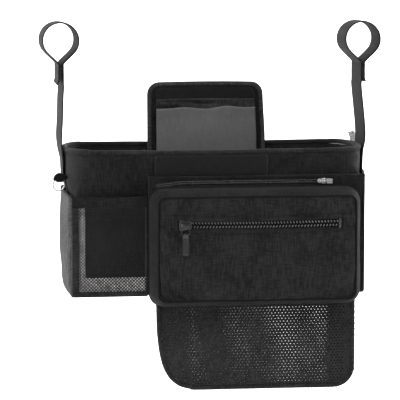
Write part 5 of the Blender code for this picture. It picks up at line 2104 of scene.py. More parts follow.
@dataclass
class PhonePocket(Assembly):
    """The open mesh pocket at the left, with its band and bindings."""

    corner: float = 9 * MM
    cell: float = 1.7 * MM
    hole: float = 0.66
    thread: float = 0.35 * MM
    strip: float = 8 * MM

    def __post_init__(self) -> None:
        """Reads the space that the solids hold."""
        self.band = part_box("phone_pocket_band")
        self.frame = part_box("phone_pocket_binding")
        self.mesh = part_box("phone_pocket_mesh")

    def covers(self, x: np.ndarray, z: np.ndarray) -> np.ndarray:
        """Whether places lie inside the mesh, whose low left corner is round.

        Args:
            x: Places across.
            z: Levels.

        Returns:
            True inside.
        """
        left, foot = self.mesh[0].x - 1 * MM, self.mesh[0].z - 1 * MM
        away = np.hypot(x - left - self.corner, z - foot - self.corner)
        in_corner = (x < left + self.corner) & (z < foot + self.corner)
        return ~(in_corner & (away > self.corner))

    def bow(self, x: np.ndarray, z: np.ndarray) -> np.ndarray:
        """How far the loose pocket stands off the wall, to the front.

        Args:
            x: Places across.
            z: Levels.

        Returns:
            The distance at each place.
        """
        low, high = self.frame[0], self.band[1]
        across = np.sin(np.clip((x - low.x) / (high.x - low.x), 0, 1) * np.pi)
        up = eased(z, low.z, high.z)
        return (across**0.8) * (0.3 + 1.3 * up) * MM

    def top_band(self) -> None:
        """Folded band along the pocket's mouth."""
        low, high = self.band
        flat = rounded_grid(low.xz, high.xz, (0, 0, 1 * MM, 1 * MM), 1.6 * MM)
        x, z = flat[..., 0], flat[..., 1].copy()
        sag = 0.9 * MM * np.sin((x - low.x) / (high.x - low.x) * np.pi)
        share = (z - low.z) / (high.z - low.z)
        puff = np.sin(share * np.pi) ** 0.6
        wave = Ripples(61, 34 * MM).at(x, z) * 0.22 * MM
        depth = low.y + 0.3 * MM - self.bow(x, z) - puff * 0.55 * MM + wave
        flat[..., 1] = z - sag
        face = upright(flat, depth)
        band = sheet_shell("phone_band", face, 1.7 * MM)
        self.shop.fit(band, self.looks.cloth, "fabric_black", ("phone_pocket_band",))
        rows = []
        for part in (0.16, 0.84):
            index = int(part * (face.shape[0] - 1))
            rows.append((face[index, 2:-2] + FRONT * 0.1 * MM, FRONT))
        self.shop.stitches("phone_band_stitches", rows)

    def outline(self, inset: float, corner: float) -> np.ndarray:
        """The pocket's left, foot and right edge.

        Args:
            inset: How far inside the outer edge it runs.
            corner: Radius of the low left corner.

        Returns:
            The points, (n, 2).
        """
        low, high = self.frame
        return rounded_line((low.x + inset, low.z + inset), (high.x - inset, high.z), (corner, 2 * MM, 0, 0),
            2 * MM, closed=False)

    def bindings(self) -> None:
        """Broad bound edges down the left, along the foot and at the right."""
        low, high = self.frame
        left_width = self.mesh[0].x - low.x
        foot_width = self.mesh[0].z - low.z
        pieces = []
        lines = (((low.x + left_width / 2, high.z), (low.x + left_width / 2, low.z + 1 * MM), left_width),
            ((low.x + 1 * MM, low.z + foot_width / 2), (high.x - 1 * MM, low.z + foot_width / 2),
            foot_width), ((high.x - 1.4 * MM, high.z), (high.x - 1.4 * MM, low.z + 1 * MM), 2.6 * MM))
        for number, (start, end, width) in enumerate(lines):
            share = np.linspace(0, 1, 50)[:, None]
            flat = np.array(start) + (np.array(end) - np.array(start)) * share
            wave = Ripples(62 + number, 46 * MM).over(flat)
            depth = (low.y + high.y) / 2 - 0.2 * MM + wave * 0.3 * MM
            pieces.append(sweep(f"edge{number}", upright(flat, depth), oval(width + 0.4 * MM, 2.6 * MM, 3.0),
                FRONT))
        edge = joined_piece("phone_binding", pieces)
        self.shop.fit(edge, self.looks.binding, "binding", ("phone_pocket_binding",))

    def netting(self) -> None:
        """Fine diamond mesh over the pocket, lighter where it is doubled."""
        low, high = self.mesh
        left, right = low.x - 1 * MM, high.x + 1 * MM
        foot, top = low.z - 1 * MM, self.band[0].z + 2 * MM
        front = open_fabric(self.shop, "phone_mesh", (left, foot), (right, top), self.covers, 4, self.cell,
            self.hole, (1.0, 1.0, 1.0))
        bend(front, lambda x, z: low.y + 0.35 * MM - self.bow(x, z))
        thicken(front, self.thread)
        self.shop.fit(front, self.looks.netting, "netting", ("phone_pocket_mesh",))
        strips = []
        for number, (a, b) in enumerate((((left + 1 * MM, foot), (left + self.strip, top - 3 * MM)),
                ((left + self.strip, foot), (right, foot + self.strip * 1.9)))):
            flat = rounded_grid(a, b, (1 * MM,) * 4, 3 * MM)
            wave = Ripples(67 + number, 30 * MM).over(flat)
            strips.append(sheet_shell(f"turn_in{number}", upright(flat, low.y + 2.3 * MM + wave * 0.2 * MM),
                0.6 * MM))
        turned = joined_piece("phone_turn_in", strips)
        self.shop.fit(turned, self.looks.pale_grey, "fabric_grey")

    def inner(self) -> None:
        """The pocket's floor and the cloth that divides it off."""
        low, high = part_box("phone_pocket_floor")
        flat = np.stack(np.meshgrid(np.linspace(low.x, high.x, 30), np.linspace(low.y, high.y, 4)), axis=2)
        wave = Ripples(64, 40 * MM).over(flat)
        face = np.concatenate([flat, (high.z + wave * 0.15 * MM)[..., None]], axis=2)
        floor = sheet_shell("phone_floor", face, high.z - low.z, UP)
        self.shop.fit(floor, self.looks.cloth, "fabric_black", ("phone_pocket_floor",))
        low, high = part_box("pocket_divider")
        flat = rounded_grid(low.yz, high.yz, (0, 0, 0, 0), 3 * MM)
        wave = Ripples(65, 40 * MM).over(flat)
        face = sideways(flat, high.x + wave * 0.15 * MM)
        divider = sheet_shell("compartment_divider", face, high.x - low.x, np.array([1.0, 0, 0]))
        self.shop.fit(divider, self.looks.cloth, "fabric_black", ("pocket_divider",))

    def build(self) -> None:
        """Builds and dresses the phone pocket."""
        self.top_band()
        self.bindings()
        self.netting()
        self.inner()


def open_fabric(shop: Workshop, name: str, low: tuple, high: tuple, covers, sides: int, cell: float,
        hole: float, stretch: tuple) -> bpy.types.Object:
    """Flat open fabric that fills an outline.

    Args:
        shop: The workshop, for its pattern.
        name: The new piece's name.
        low: The rectangle's lowest corner.
        high: Its highest corner.
        covers: Function that says which places the fabric covers.
        sides: Corners of a cell, 4 for diamonds or 6 for a honeycomb.
        cell: Distance from a cell's middle to its corners.
        hole: Size of a hole, as a share of its cell.
        stretch: Scale of the cells along each axis.

    Returns:
        The fabric, flat in X and Y with Y standing for the height.
    """
    if sides == 4:
        wide, tall = 2 * cell * stretch[0], cell * stretch[1]
        turn = 0.0
    else:
        wide, tall = math.sqrt(3) * cell * stretch[0], 1.5 * cell * stretch[1]
        turn = math.pi / 6
    centres = []
    rows = int((high[1] - low[1]) / tall) + 1
    columns = int((high[0] - low[0]) / wide) + 1
    for row in range(rows + 1):
        for column in range(columns + 1):
            x = low[0] + (column + 0.5 * (row % 2)) * wide
            centres.append((x, low[1] + row * tall))
    centres = np.array(centres)
    inside = ((centres[:, 0] <= high[0]) & (centres[:, 1] <= high[1]) & covers(centres[:, 0], centres[:, 1]))
    mesh = bpy.data.meshes.new("cells")
    mesh.from_pydata([(x, z, 0) for x, z in centres[inside]], [], [])
    base = placed("cells", mesh)
    return shop.open_work.run(name, base, {"Sides": sides, "Cell": cell, "Stretch": stretch, "Turn": turn,
        "Hole": hole, "Finish": shop.finishes.of(shop.finishes.netting)})


def bend(piece: bpy.types.Object, depth_at) -> None:
    """Stands a flat fabric up and gives it its depth.

    Args:
        piece: The fabric, flat in X and Y.
        depth_at: Function of X and height that gives the depth, or the
            depth, a shift across and a shift up.
    """
    count = len(piece.data.vertices)
    flat = np.empty(count * 3, np.float32)
    piece.data.vertices.foreach_get("co", flat)
    flat = flat.reshape(-1, 3).astype(float)
    x, z = flat[:, 0], flat[:, 1]
    found = depth_at(x, z)
    if isinstance(found, tuple):
        depth, across, up = found
    else:
        depth, across, up = found, 0.0, 0.0
    placed = np.column_stack([x + across, depth, z + up])
    piece.data.vertices.foreach_set("co", placed.astype(np.float32).ravel())
    lay_uv(piece.data, flat[:, :2])
    piece.data.update()


def thicken(piece: bpy.types.Object, thick: float) -> None:
    """Gives a single-layer fabric its thickness, with faces outwards.

    Args:
        piece: The fabric.
        thick: The thickness of its threads.
    """
    cleaned(piece.data, 0.01 * MM)
    solid = piece.modifiers.new("thick", "SOLIDIFY")
    solid.thickness = thick
    solid.offset = 0.0
    graph = bpy.context.evaluated_depsgraph_get()
    old = piece.data
    piece.data = bpy.data.meshes.new_from_object(piece.evaluated_get(graph))
    piece.modifiers.clear()
    bpy.data.meshes.remove(old)
    piece.data.shade_smooth()


# ---- Side wraps ----


@dataclass
class Gussets(Assembly):
    """The side cloths that wrap from the front pockets to the back."""

    left_swell: float = 6.6 * MM
    right_swell: float = 5.4 * MM
    curl: float = 3.0 * MM
    back_curl: float = 5.0 * MM
    foot_curl: float = 1.4 * MM

    def side(self, node: str, name: str, way: int, finish: Cloth, slot: str) -> None:
        """One side with its top hem.

        Args:
            node: The CAD node.
            name: The piece's name.
            way: -1 for the left and 1 for the right.
            finish: Its cloth.
            slot: The name of its material slot, passed on to the workshop.
        """
        low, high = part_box(node)
        flat = rounded_grid(low.yz, high.yz, (5 * MM, 12 * MM, 0, 0), 2.2 * MM)
        y, z = flat[..., 0], flat[..., 1]
        share_y = (y - low.y) / (high.y - low.y)
        share_z = (z - low.z) / (high.z - low.z)
        full = np.sin(np.clip(share_y, 0, 1) * np.pi) ** (0.6 if way < 0 else 1.5)
        swell = self.left_swell if way < 0 else self.right_swell
        top_share = 0.45 if way < 0 else 0.98
        tall = np.where(share_z > 0.5, top_share + (1 - top_share) * np.sin(share_z * np.pi) ** 0.5,
            0.3 + 0.7 * np.sin(share_z * np.pi) ** 0.5)
        belly = swell * full * tall
        wave = Ripples(hash_of(name), 60 * MM, waves=12).at(y, z) * 0.7 * MM * full
        folds = crease(share_y, share_z, (0.1, 0.2), (0.5, 0.95), 0.07) * 1.2 * MM
        folds -= crease(share_y, share_z, (0.55, 0.1), (0.75, 0.8), 0.08) * 1.1 * MM
        reach = 0.05 if way < 0 else 0.4
        curl = self.curl * (1 - eased(share_y, 0, reach)) ** 1.5
        curl = curl + self.back_curl * eased(share_y, 0.88, 1.0) ** 1.5
        curl = curl + self.foot_curl * (1 - eased(share_z, 0, 0.08))
        outer = low.x if way < 0 else high.x
        face = sideways(flat, outer + way * (belly + wave + folds * full - 0.2 * MM - curl))
        facing = np.array([way, 0.0, 0.0])
        wrap = sheet_shell(name, face, 1.3 * MM, facing)
        self.shop.fit(wrap, finish, slot, (node,))
        hem = sweep(name + "_hem", face[-1], oval(2.6 * MM, 2.2 * MM, 2.6), UP)
        self.shop.fit(hem, self.looks.binding, "binding")
        row = face[-1] + facing * 0.3 * MM - UP * 3.2 * MM
        self.shop.stitches(name + "_stitches", [(row[4:-4], facing)])

    def build(self) -> None:
        """Builds both sides."""
        grey, black = self.looks.grey, self.looks.cloth
        self.side("left_side_wrap", "left_gusset", -1, grey, "fabric_grey")
        self.side("right_side_wrap", "right_gusset", 1, black, "fabric_black")


# ---- Straps, ring and tabs ----


def smoothed(route: list, steps: int = 6) -> np.ndarray:
    """A smooth curve through the points of a route.

    Args:
        route: The points, (n, 2).
        steps: Points of the curve for each stretch.

    Returns:
        The curve's points.
    """
    points = np.array([route[0], *route, route[-1]], float)
    found = []
    for a, b, c, d in zip(points, points[1:], points[2:], points[3:]):
        for step in range(steps):
            t = step / steps
            found.append(0.5 * (2 * b + (c - a) * t + (2 * a - 5 * b + 4 * c - d) * t**2 + (3 * b - a - 3 * c
                + d) * t**3))
    found.append(points[-2])
    return np.array(found)


def side_swell(level: np.ndarray) -> np.ndarray:
    """How far the tub's sides swell out at a level."""
    return 6.6 * MM * eased(level, -160 * MM, -130 * MM)


@dataclass
class Straps(Assembly):
    """The two webbing straps, each looped over the handle and pressed shut."""

    wide: float = 38 * MM
    thick: float = 2.0 * MM
    twist: float = math.radians(5)
    drift: float = 1.2 * MM
    away: float = 161.5 * MM
    inner_leg: float = 157.5 * MM
    sewn: float = 151.3 * MM
    loop_radius: float = 18.5 * MM
    loop_middle: tuple = (159.5 * MM, 3 * MM)
    neck: float = -24 * MM
    neck_rise: float = 4.05 * MM
    free_end: float = -42 * MM
    foot: float = -160.2 * MM
    compartment_top: float = -135.2 * MM
    rim: float = -108 * MM
    wall_reach: float = 150 * MM

    def route(self) -> np.ndarray:
        """Middle line of the right strap, in X and Z.

        Returns:
            The points from the sewn foot up and round to the free end.
        """
        rise = self.rim - self.compartment_top
        free = self.neck - self.free_end
        points = [(self.sewn, self.foot), (self.sewn, (self.foot + self.compartment_top) / 2),
            (self.sewn, self.compartment_top), (self.sewn + 0.06 * (self.away - self.sewn),
            self.compartment_top + 0.15 * rise), (self.sewn + 0.5 * (self.away - self.sewn),
            self.compartment_top + 0.55 * rise), (self.away, self.rim + 2.2 * MM),
            (self.away, self.rim + 21.6 * MM), (self.inner_leg, self.free_end - 0.35 * free),
            (self.inner_leg, self.free_end), (self.inner_leg, (self.free_end + self.neck) / 2),
            (self.inner_leg, self.neck), (self.inner_leg - 0.5 * self.thick, self.neck + self.neck_rise)]
        for degrees in range(228, -49, -23):
            points.append(on_circle(self.loop_middle, self.loop_radius, degrees))
        points += [(self.away + 0.5 * self.thick, self.neck + self.neck_rise), (self.away, self.neck),
            (self.away, (self.free_end + self.neck) / 2), (self.away, self.free_end + 0.25 * free),
            (self.away + 0.7 * self.thick, self.free_end)]
        return smoothed(points)

    def on_strap(self, corners: list, way: int) -> np.ndarray:
        """A sewn line on the strap's outer face, through (Y, Z) corners.

        Args:
            corners: The line's corners.
            way: -1 for the left strap and 1 for the right.

        Returns:
            The points, (n, 3).
        """
        line = resampled(np.array([(0.0, y, z) for y, z in corners]), 1 * MM)
        face = self.wall_reach + side_swell(line[:, 2]) + self.thick * 1.25 + 0.15 * MM
        face = np.maximum(face, self.sewn + self.thick / 2 + 0.15 * MM)
        line[:, 0] = way * face
        return line

    def build(self) -> None:
        """Builds both straps with their patches and box stitches."""
        for side, way in (("left", -1), ("right", 1)):
            flat = self.route()
            line = np.column_stack([flat[:, 0] * way, np.zeros(len(flat)), flat[:, 1]])
            tangent = unit(np.gradient(flat, axis=0))
            normal = np.column_stack([-tangent[:, 1] * way, np.zeros(len(flat)), tangent[:, 0]])
            gone = run_along(line)
            wave = Ripples(hash_of(side), 90 * MM).at(gone, gone * 0)
            fade = eased(gone, 30 * MM, 60 * MM)
            line[:, 1] += wave * 0.6 * MM * fade
            turned = self.twist * eased(gone, 25 * MM, 70 * MM)
            turned = turned * (1 - 0.4 * eased(gone, 150 * MM, 210 * MM))
            normal[:, 1] = np.tan(turned) * np.sign(normal[:, 0])
            normal[:, 1] *= np.abs(normal[:, 0])
            belly = np.exp(-(((gone - 39 * MM) / (11 * MM)) ** 2))
            drift = self.drift * 1.9 * eased(gone, 30 * MM, 60 * MM)
            if way < 0:
                drift = self.drift * (1.0 * eased(gone, 30 * MM, 60 * MM))
                drift -= self.drift * 1.9 * eased(gone, 75 * MM, 115 * MM)
                drift -= belly * 2.4 * MM
            line[:, 0] -= drift * way
            reach = self.wall_reach + side_swell(line[:, 2]) + self.thick * 0.75
            low_part = (line[:, 2] < self.rim + 6 * MM) & (gone < 70 * MM)
            out = np.where(low_part, np.maximum(np.abs(line[:, 0]), reach), np.abs(line[:, 0]))
            line[:, 0] = way * out
            strap = sweep(f"{side}_webbing", line, oval(self.wide, self.thick * 0.9, 6.0, 24), normal)
            self.shop.fit(strap, self.looks.webbing, "webbing", (f"{side}_strap",))
            node = f"{side}_strap_patch"
            low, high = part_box(node)
            patch_flat = rounded_grid(low.yz, high.yz, (1 * MM,) * 4, 2 * MM)
            outer = np.array([way, 0.0, 0.0])
            edge = high.x if way > 0 else low.x
            patch = sheet_shell(f"{side}_strap_grip", sideways(patch_flat, edge), high.x - low.x, outer)
            self.shop.fit(patch, self.looks.hook, "hook_loop", (node,))
            half = self.wide / 2 - 3.5 * MM
            top, foot = self.compartment_top - 2 * MM, self.foot + 3 * MM
            corners = [(-half, foot), (half, foot), (half, top), (-half, top), (-half, foot)]
            box = self.on_strap(corners, way)
            cross = [self.on_strap([(-half, foot), (half, top)], way),
                self.on_strap([(half, foot), (-half, top)], way)]
            rows = [(line, outer) for line in (box, *cross)]
            self.shop.stitches(f"{side}_strap_stitches", rows)


@dataclass
class Ring(Assembly):
    """The silver ring in its webbing tab, and the light tab on the rim."""

    wire: float = 0.8 * MM
    dome_wide: float = 13.0 * MM
    dome_thick: float = 4.4 * MM
    aside: float = 1.6 * MM

    def ring(self) -> None:
        """A finer ring than the solid's."""
        low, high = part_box("key_ring")
        middle = (low + high) / 2
        radius = (high.x - low.x) / 2 - self.wire
        angle = np.linspace(0, 2 * np.pi, 72, endpoint=False)
        line = np.column_stack([middle.x - self.aside + radius * np.cos(angle), np.full(72, middle.y),
            middle.z + radius * np.sin(angle)])
        ring = sweep("ring_wire", line, oval(2 * self.wire, 2 * self.wire, 2.0, 14), FRONT, True)
        self.shop.fit(ring, self.looks.silver, "silver_metal", ("key_ring",), "ring")

    def tab(self) -> None:
        """The tab: a dome of folded webbing over a loop round the ring."""
        stem_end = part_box("ring_tab")[1].x
        ring_low, ring_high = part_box("key_ring")
        middle_x = (ring_low.x + ring_high.x) / 2 - self.aside * 0.5
        middle_y = (ring_low.y + ring_high.y) / 2
        hinge = ring_high.z - self.wire
        angle = np.linspace(-200, 20, 21)
        loop = [(middle_y + 2.2 * MM * math.cos(math.radians(a)),
            hinge - 0.35 * MM + 2.3 * MM * math.sin(math.radians(a))) for a in angle]
        start = [(middle_y - 0.6 * MM, hinge + 5.2 * MM), (middle_y - 1.3 * MM, hinge + 3.2 * MM)]
        end = [(middle_y + 1.3 * MM, hinge + 3.2 * MM), (middle_y + 0.6 * MM, hinge + 5.2 * MM)]
        flat = np.array(start + loop + end)
        line = np.column_stack([np.full(len(flat), middle_x), flat[:, 0], flat[:, 1]])
        line = resampled(line, 0.5 * MM)
        tangent = np.gradient(line, axis=0)
        facing = np.cross(tangent, np.array([1.0, 0, 0]))
        strip = sweep("loop", line, oval(6.6 * MM, 0.9 * MM, 5.0, 16), facing)
        rings = []
        foot, top = hinge - 0.9 * MM, hinge + 6.9 * MM
        for part in np.linspace(0, 1, 18) ** 0.8:
            level = foot + (top - foot) * part
            half = self.dome_wide / 2 * math.sqrt(max(1 - part**2, 0.0)) + 0.2 * MM
            left, right = middle_x - half, middle_x + half
            thick = self.dome_thick * (0.55 + 0.45 * math.sqrt(max(1 - part**2, 0.0)))
            section = oval(right - left, thick, 2.6, 24)
            rings.append(np.column_stack([section[:, 0] + middle_x, section[:, 1] + middle_y,
                np.full(24, level)]))
        stem = sweep("stem", np.array([(middle_x, middle_y, foot + 2.4 * MM), (middle_x + 4 * MM, middle_y,
            foot + 3.0 * MM), (stem_end, middle_y, foot + 3.4 * MM)]),
            oval(self.dome_thick, 4.4 * MM, 3.0, 16), UP)
        dome = loft("dome", np.array(rings))
        tab = joined_piece("ring_loop", [strip, dome, stem])
        self.shop.fit(tab, self.looks.webbing, "webbing", ("ring_tab",))

    def rim_tab(self) -> None:
        """Short light webbing tab that leans in from the rim."""
        low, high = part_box("rim_tab")
        share = np.linspace(0, 1, 14)[:, None]
        start = np.array([high.x + 8.6 * MM, 0, low.z - 2.0 * MM])
        end = np.array([low.x + 13.6 * MM, 0, high.z - 1.2 * MM])
        line = start + (end - start) * share
        line[:, 0] += 0.4 * MM * np.sin(share[:, 0] * np.pi)
        line[:, 1] = (low.y + high.y) / 2
        facing = np.array([-0.75, -1.0, -0.35])
        tab = sweep("rim_pull_tab", line, oval(high.y - low.y, 1.1 * MM, 5.0, 18), facing)
        self.shop.fit(tab, self.looks.light_webbing, "light_webbing", ("rim_tab",))

    def build(self) -> None:
        """Builds the ring and both tabs."""
        self.ring()
        self.tab()
        self.rim_tab()


# ---- Flap ----


@dataclass
class Flap(Assembly):
    """The bound flap that stands open behind the centre pocket."""

    corner: float = 13 * MM
    # Height of the painted shade strip between the hook strip and the lining.
    shade_band_tall: float = 8.6 * MM
    bow: float = 2.0 * MM
    binding_wide: float = 4.8 * MM
    binding_thick: float = 2.9 * MM
    rim_level: float = -112 * MM

    def __post_init__(self) -> None:
        """Reads the space that the solids hold."""
        self.low, self.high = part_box("flap_binding")

    def shaped(self, flat: np.ndarray) -> np.ndarray:
        """Narrows the flap towards its top and arches its top edge.

        Args:
            flat: Points (across, up).

        Returns:
            The moved points.
        """
        x, z = flat[..., 0], flat[..., 1]
        middle = (self.low.x + self.high.x) / 2
        up = eased(z, self.rim_level, self.high.z)
        across = (x - middle) / (self.high.x - self.low.x) * 2
        narrowed = middle + (x - middle) * (1 - 0.045 * np.maximum(across, 0) * up)
        arch = 0.8 * MM * (1 - across**2) * up
        return np.stack([narrowed, z + arch], axis=-1)

    def depth(self, flat: np.ndarray) -> np.ndarray:
        """Depth of the flap's middle, which bows and leans back a little.

        Args:
            flat: Points (across, up).

        Returns:
            The depth at each point.
        """
        x, z = flat[..., 0], flat[..., 1]
        share = np.clip((z - self.low.z) / (self.high.z - self.low.z), 0, 1)
        across = (x - self.low.x) / (self.high.x - self.low.x)
        curl = self.bow * np.sin(np.clip(across, 0, 1) * np.pi) * eased(share, 0.4, 1)
        lean = 1.6 * MM * eased(share, 0.5, 1)
        wave = Ripples(71, 70 * MM, waves=8).at(x, z) * 0.5 * MM * eased(share, 0.4, 0.8)
        return (self.low.y + self.high.y) / 2 + curl + lean + wave - 0.6 * MM

    def panel(self) -> None:
        """Padded panel inside the binding."""
        flat = rounded_grid((self.low.x + 2 * MM, self.low.z), (self.high.x - 2 * MM, self.high.z - 2 * MM),
            (0, 0, self.corner - 2 * MM, self.corner - 2 * MM), 2.2 * MM)
        face = upright(self.shaped(flat), self.depth(flat) - 0.9 * MM)
        panel = sheet_shell("flap_pad", face, 1.8 * MM)
        self.shop.fit(panel, self.looks.cloth, "fabric_black", ("flap_panel",))

    def edge(self) -> None:
        """Binding tape folded over the edge, with its stitches."""
        inset = self.binding_wide / 2
        flat = rounded_line((self.low.x + inset, self.low.z), (self.high.x - inset, self.high.z - inset),
            (0, 0, self.corner - inset, self.corner - inset), 1.8 * MM)
        keep = flat[:, 1] > self.low.z + 0.5 * MM
        start = int(np.argmax(~keep))
        flat = np.roll(flat, -start, axis=0)
        flat = flat[flat[:, 1] > self.low.z + 0.5 * MM]
        order = flat if flat[0, 0] > flat[-1, 0] else flat[::-1]
        line = upright(self.shaped(order), self.depth(order))
        tape = sweep("flap_tape", line, oval(self.binding_wide, self.binding_thick, 3.0, 18), FRONT)
        self.shop.fit(tape, self.looks.flap_binding, "binding", ("flap_binding",))
        inward = rounded_line((self.low.x + 2 * inset - 0.8 * MM, self.low.z),
            (self.high.x - 2 * inset + 0.8 * MM, self.high.z - 2 * inset + 0.8 * MM),
            (0, 0, self.corner - 2 * inset, self.corner - 2 * inset), 1.8 * MM)
        start = int(np.argmin(inward[:, 1]))
        inward = np.roll(inward, -start, axis=0)
        inward = inward[inward[:, 1] > self.rim_level]
        row = upright(self.shaped(inward), self.depth(inward))
        self.shop.stitches("flap_stitches", [(row + FRONT * 1.35 * MM, FRONT)])

    def hook(self) -> None:
        """Hook strip near the top, with its rows of hooks."""
        low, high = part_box("flap_hook_strip")
        flat = rounded_grid(low.xz, high.xz, (1 * MM, 1 * MM, 6.5 * MM, 6.5 * MM), 1.8 * MM)
        face = upright(self.shaped(flat), self.depth(flat) - 1.6 * MM)
        strip = sheet_shell("flap_hooks", face, 0.9 * MM)
        stub = loft("hook", np.array([[(s * 0.16 * MM * math.cos(a), s * 0.16 * MM * math.sin(a),
            z * MM) for a in (0, 1.57, 3.14, 4.71)] for s, z in ((1, 0), (0.7, 0.45), (1.7, 0.5), (0.9,
            0.7))]))
        pile = self.shop.strew("flap_hook_pile", strip, stub, {"Apart": 0.9 * MM, "Density": 500000.0,
            "Seed": 3}, self.looks.hook)
        self.shop.fit(strip, self.looks.hook, "hook_loop", ("flap_hook_strip",))

    def lining(self) -> None:
        """Smooth lining with a wavy top edge, below a dark strip of cloth that paints the shade under the
        hook strip.
        """
        low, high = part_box("flap_lining")
        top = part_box("flap_hook_strip")[0].z - 0.4 * MM
        flat = rounded_grid((low.x, top - 13 * MM), (high.x, top), (0, 0, 0, 0), 1.2 * MM)
        x, below = flat[..., 0], top - flat[..., 1]
        pleats = Ripples(73, 9 * MM, waves=9, lean=90, spread=24).at(x * 0.5, below)
        ridge = np.exp(-(((below - 1.6 * MM) / (1.1 * MM)) ** 2))
        depth = self.depth(flat) - 1.5 * MM - ridge * 1.1 * MM - pleats * 0.7 * MM
        # The dark strip is painted shade: a sheet of darker cloth put where the fold under the hook strip
        # lies in shadow.
        tuck = sheet_shell("flap_tuck", upright(self.shaped(flat), depth), 0.5 * MM)
        self.shop.fit(tuck, self.looks.tuck, "lining")
        edge = top - self.shade_band_tall
        flat = rounded_grid((low.x, low.z), (high.x, edge), (0, 0, 0, 0), 1.8 * MM)
        x, z = flat[..., 0], flat[..., 1]
        near = eased(z, edge - 14 * MM, edge)
        lift = Ripples(75, 34 * MM, waves=7).at(x, x * 0) * 1.5 * MM
        cloth = Ripples(74, 60 * MM, waves=9).at(x, z) * 0.35 * MM
        puff = Ripples(76, 20 * MM, waves=9, lean=0, spread=30).at(x, z * 0.4)
        depth = self.depth(flat) - 2.5 * MM - cloth - near * (0.8 * MM + puff * 0.5 * MM)
        flat = np.stack([x, z + near * lift], axis=-1)
        lining = sheet_shell("flap_lining_cloth", upright(self.shaped(flat), depth), 0.5 * MM)
        self.shop.fit(lining, self.looks.flap_lining, "lining", ("flap_lining",))

    def build(self) -> None:
        """Builds and dresses the flap."""
        self.panel()
        self.edge()
        self.hook()
        self.lining()


# ---- Net ----


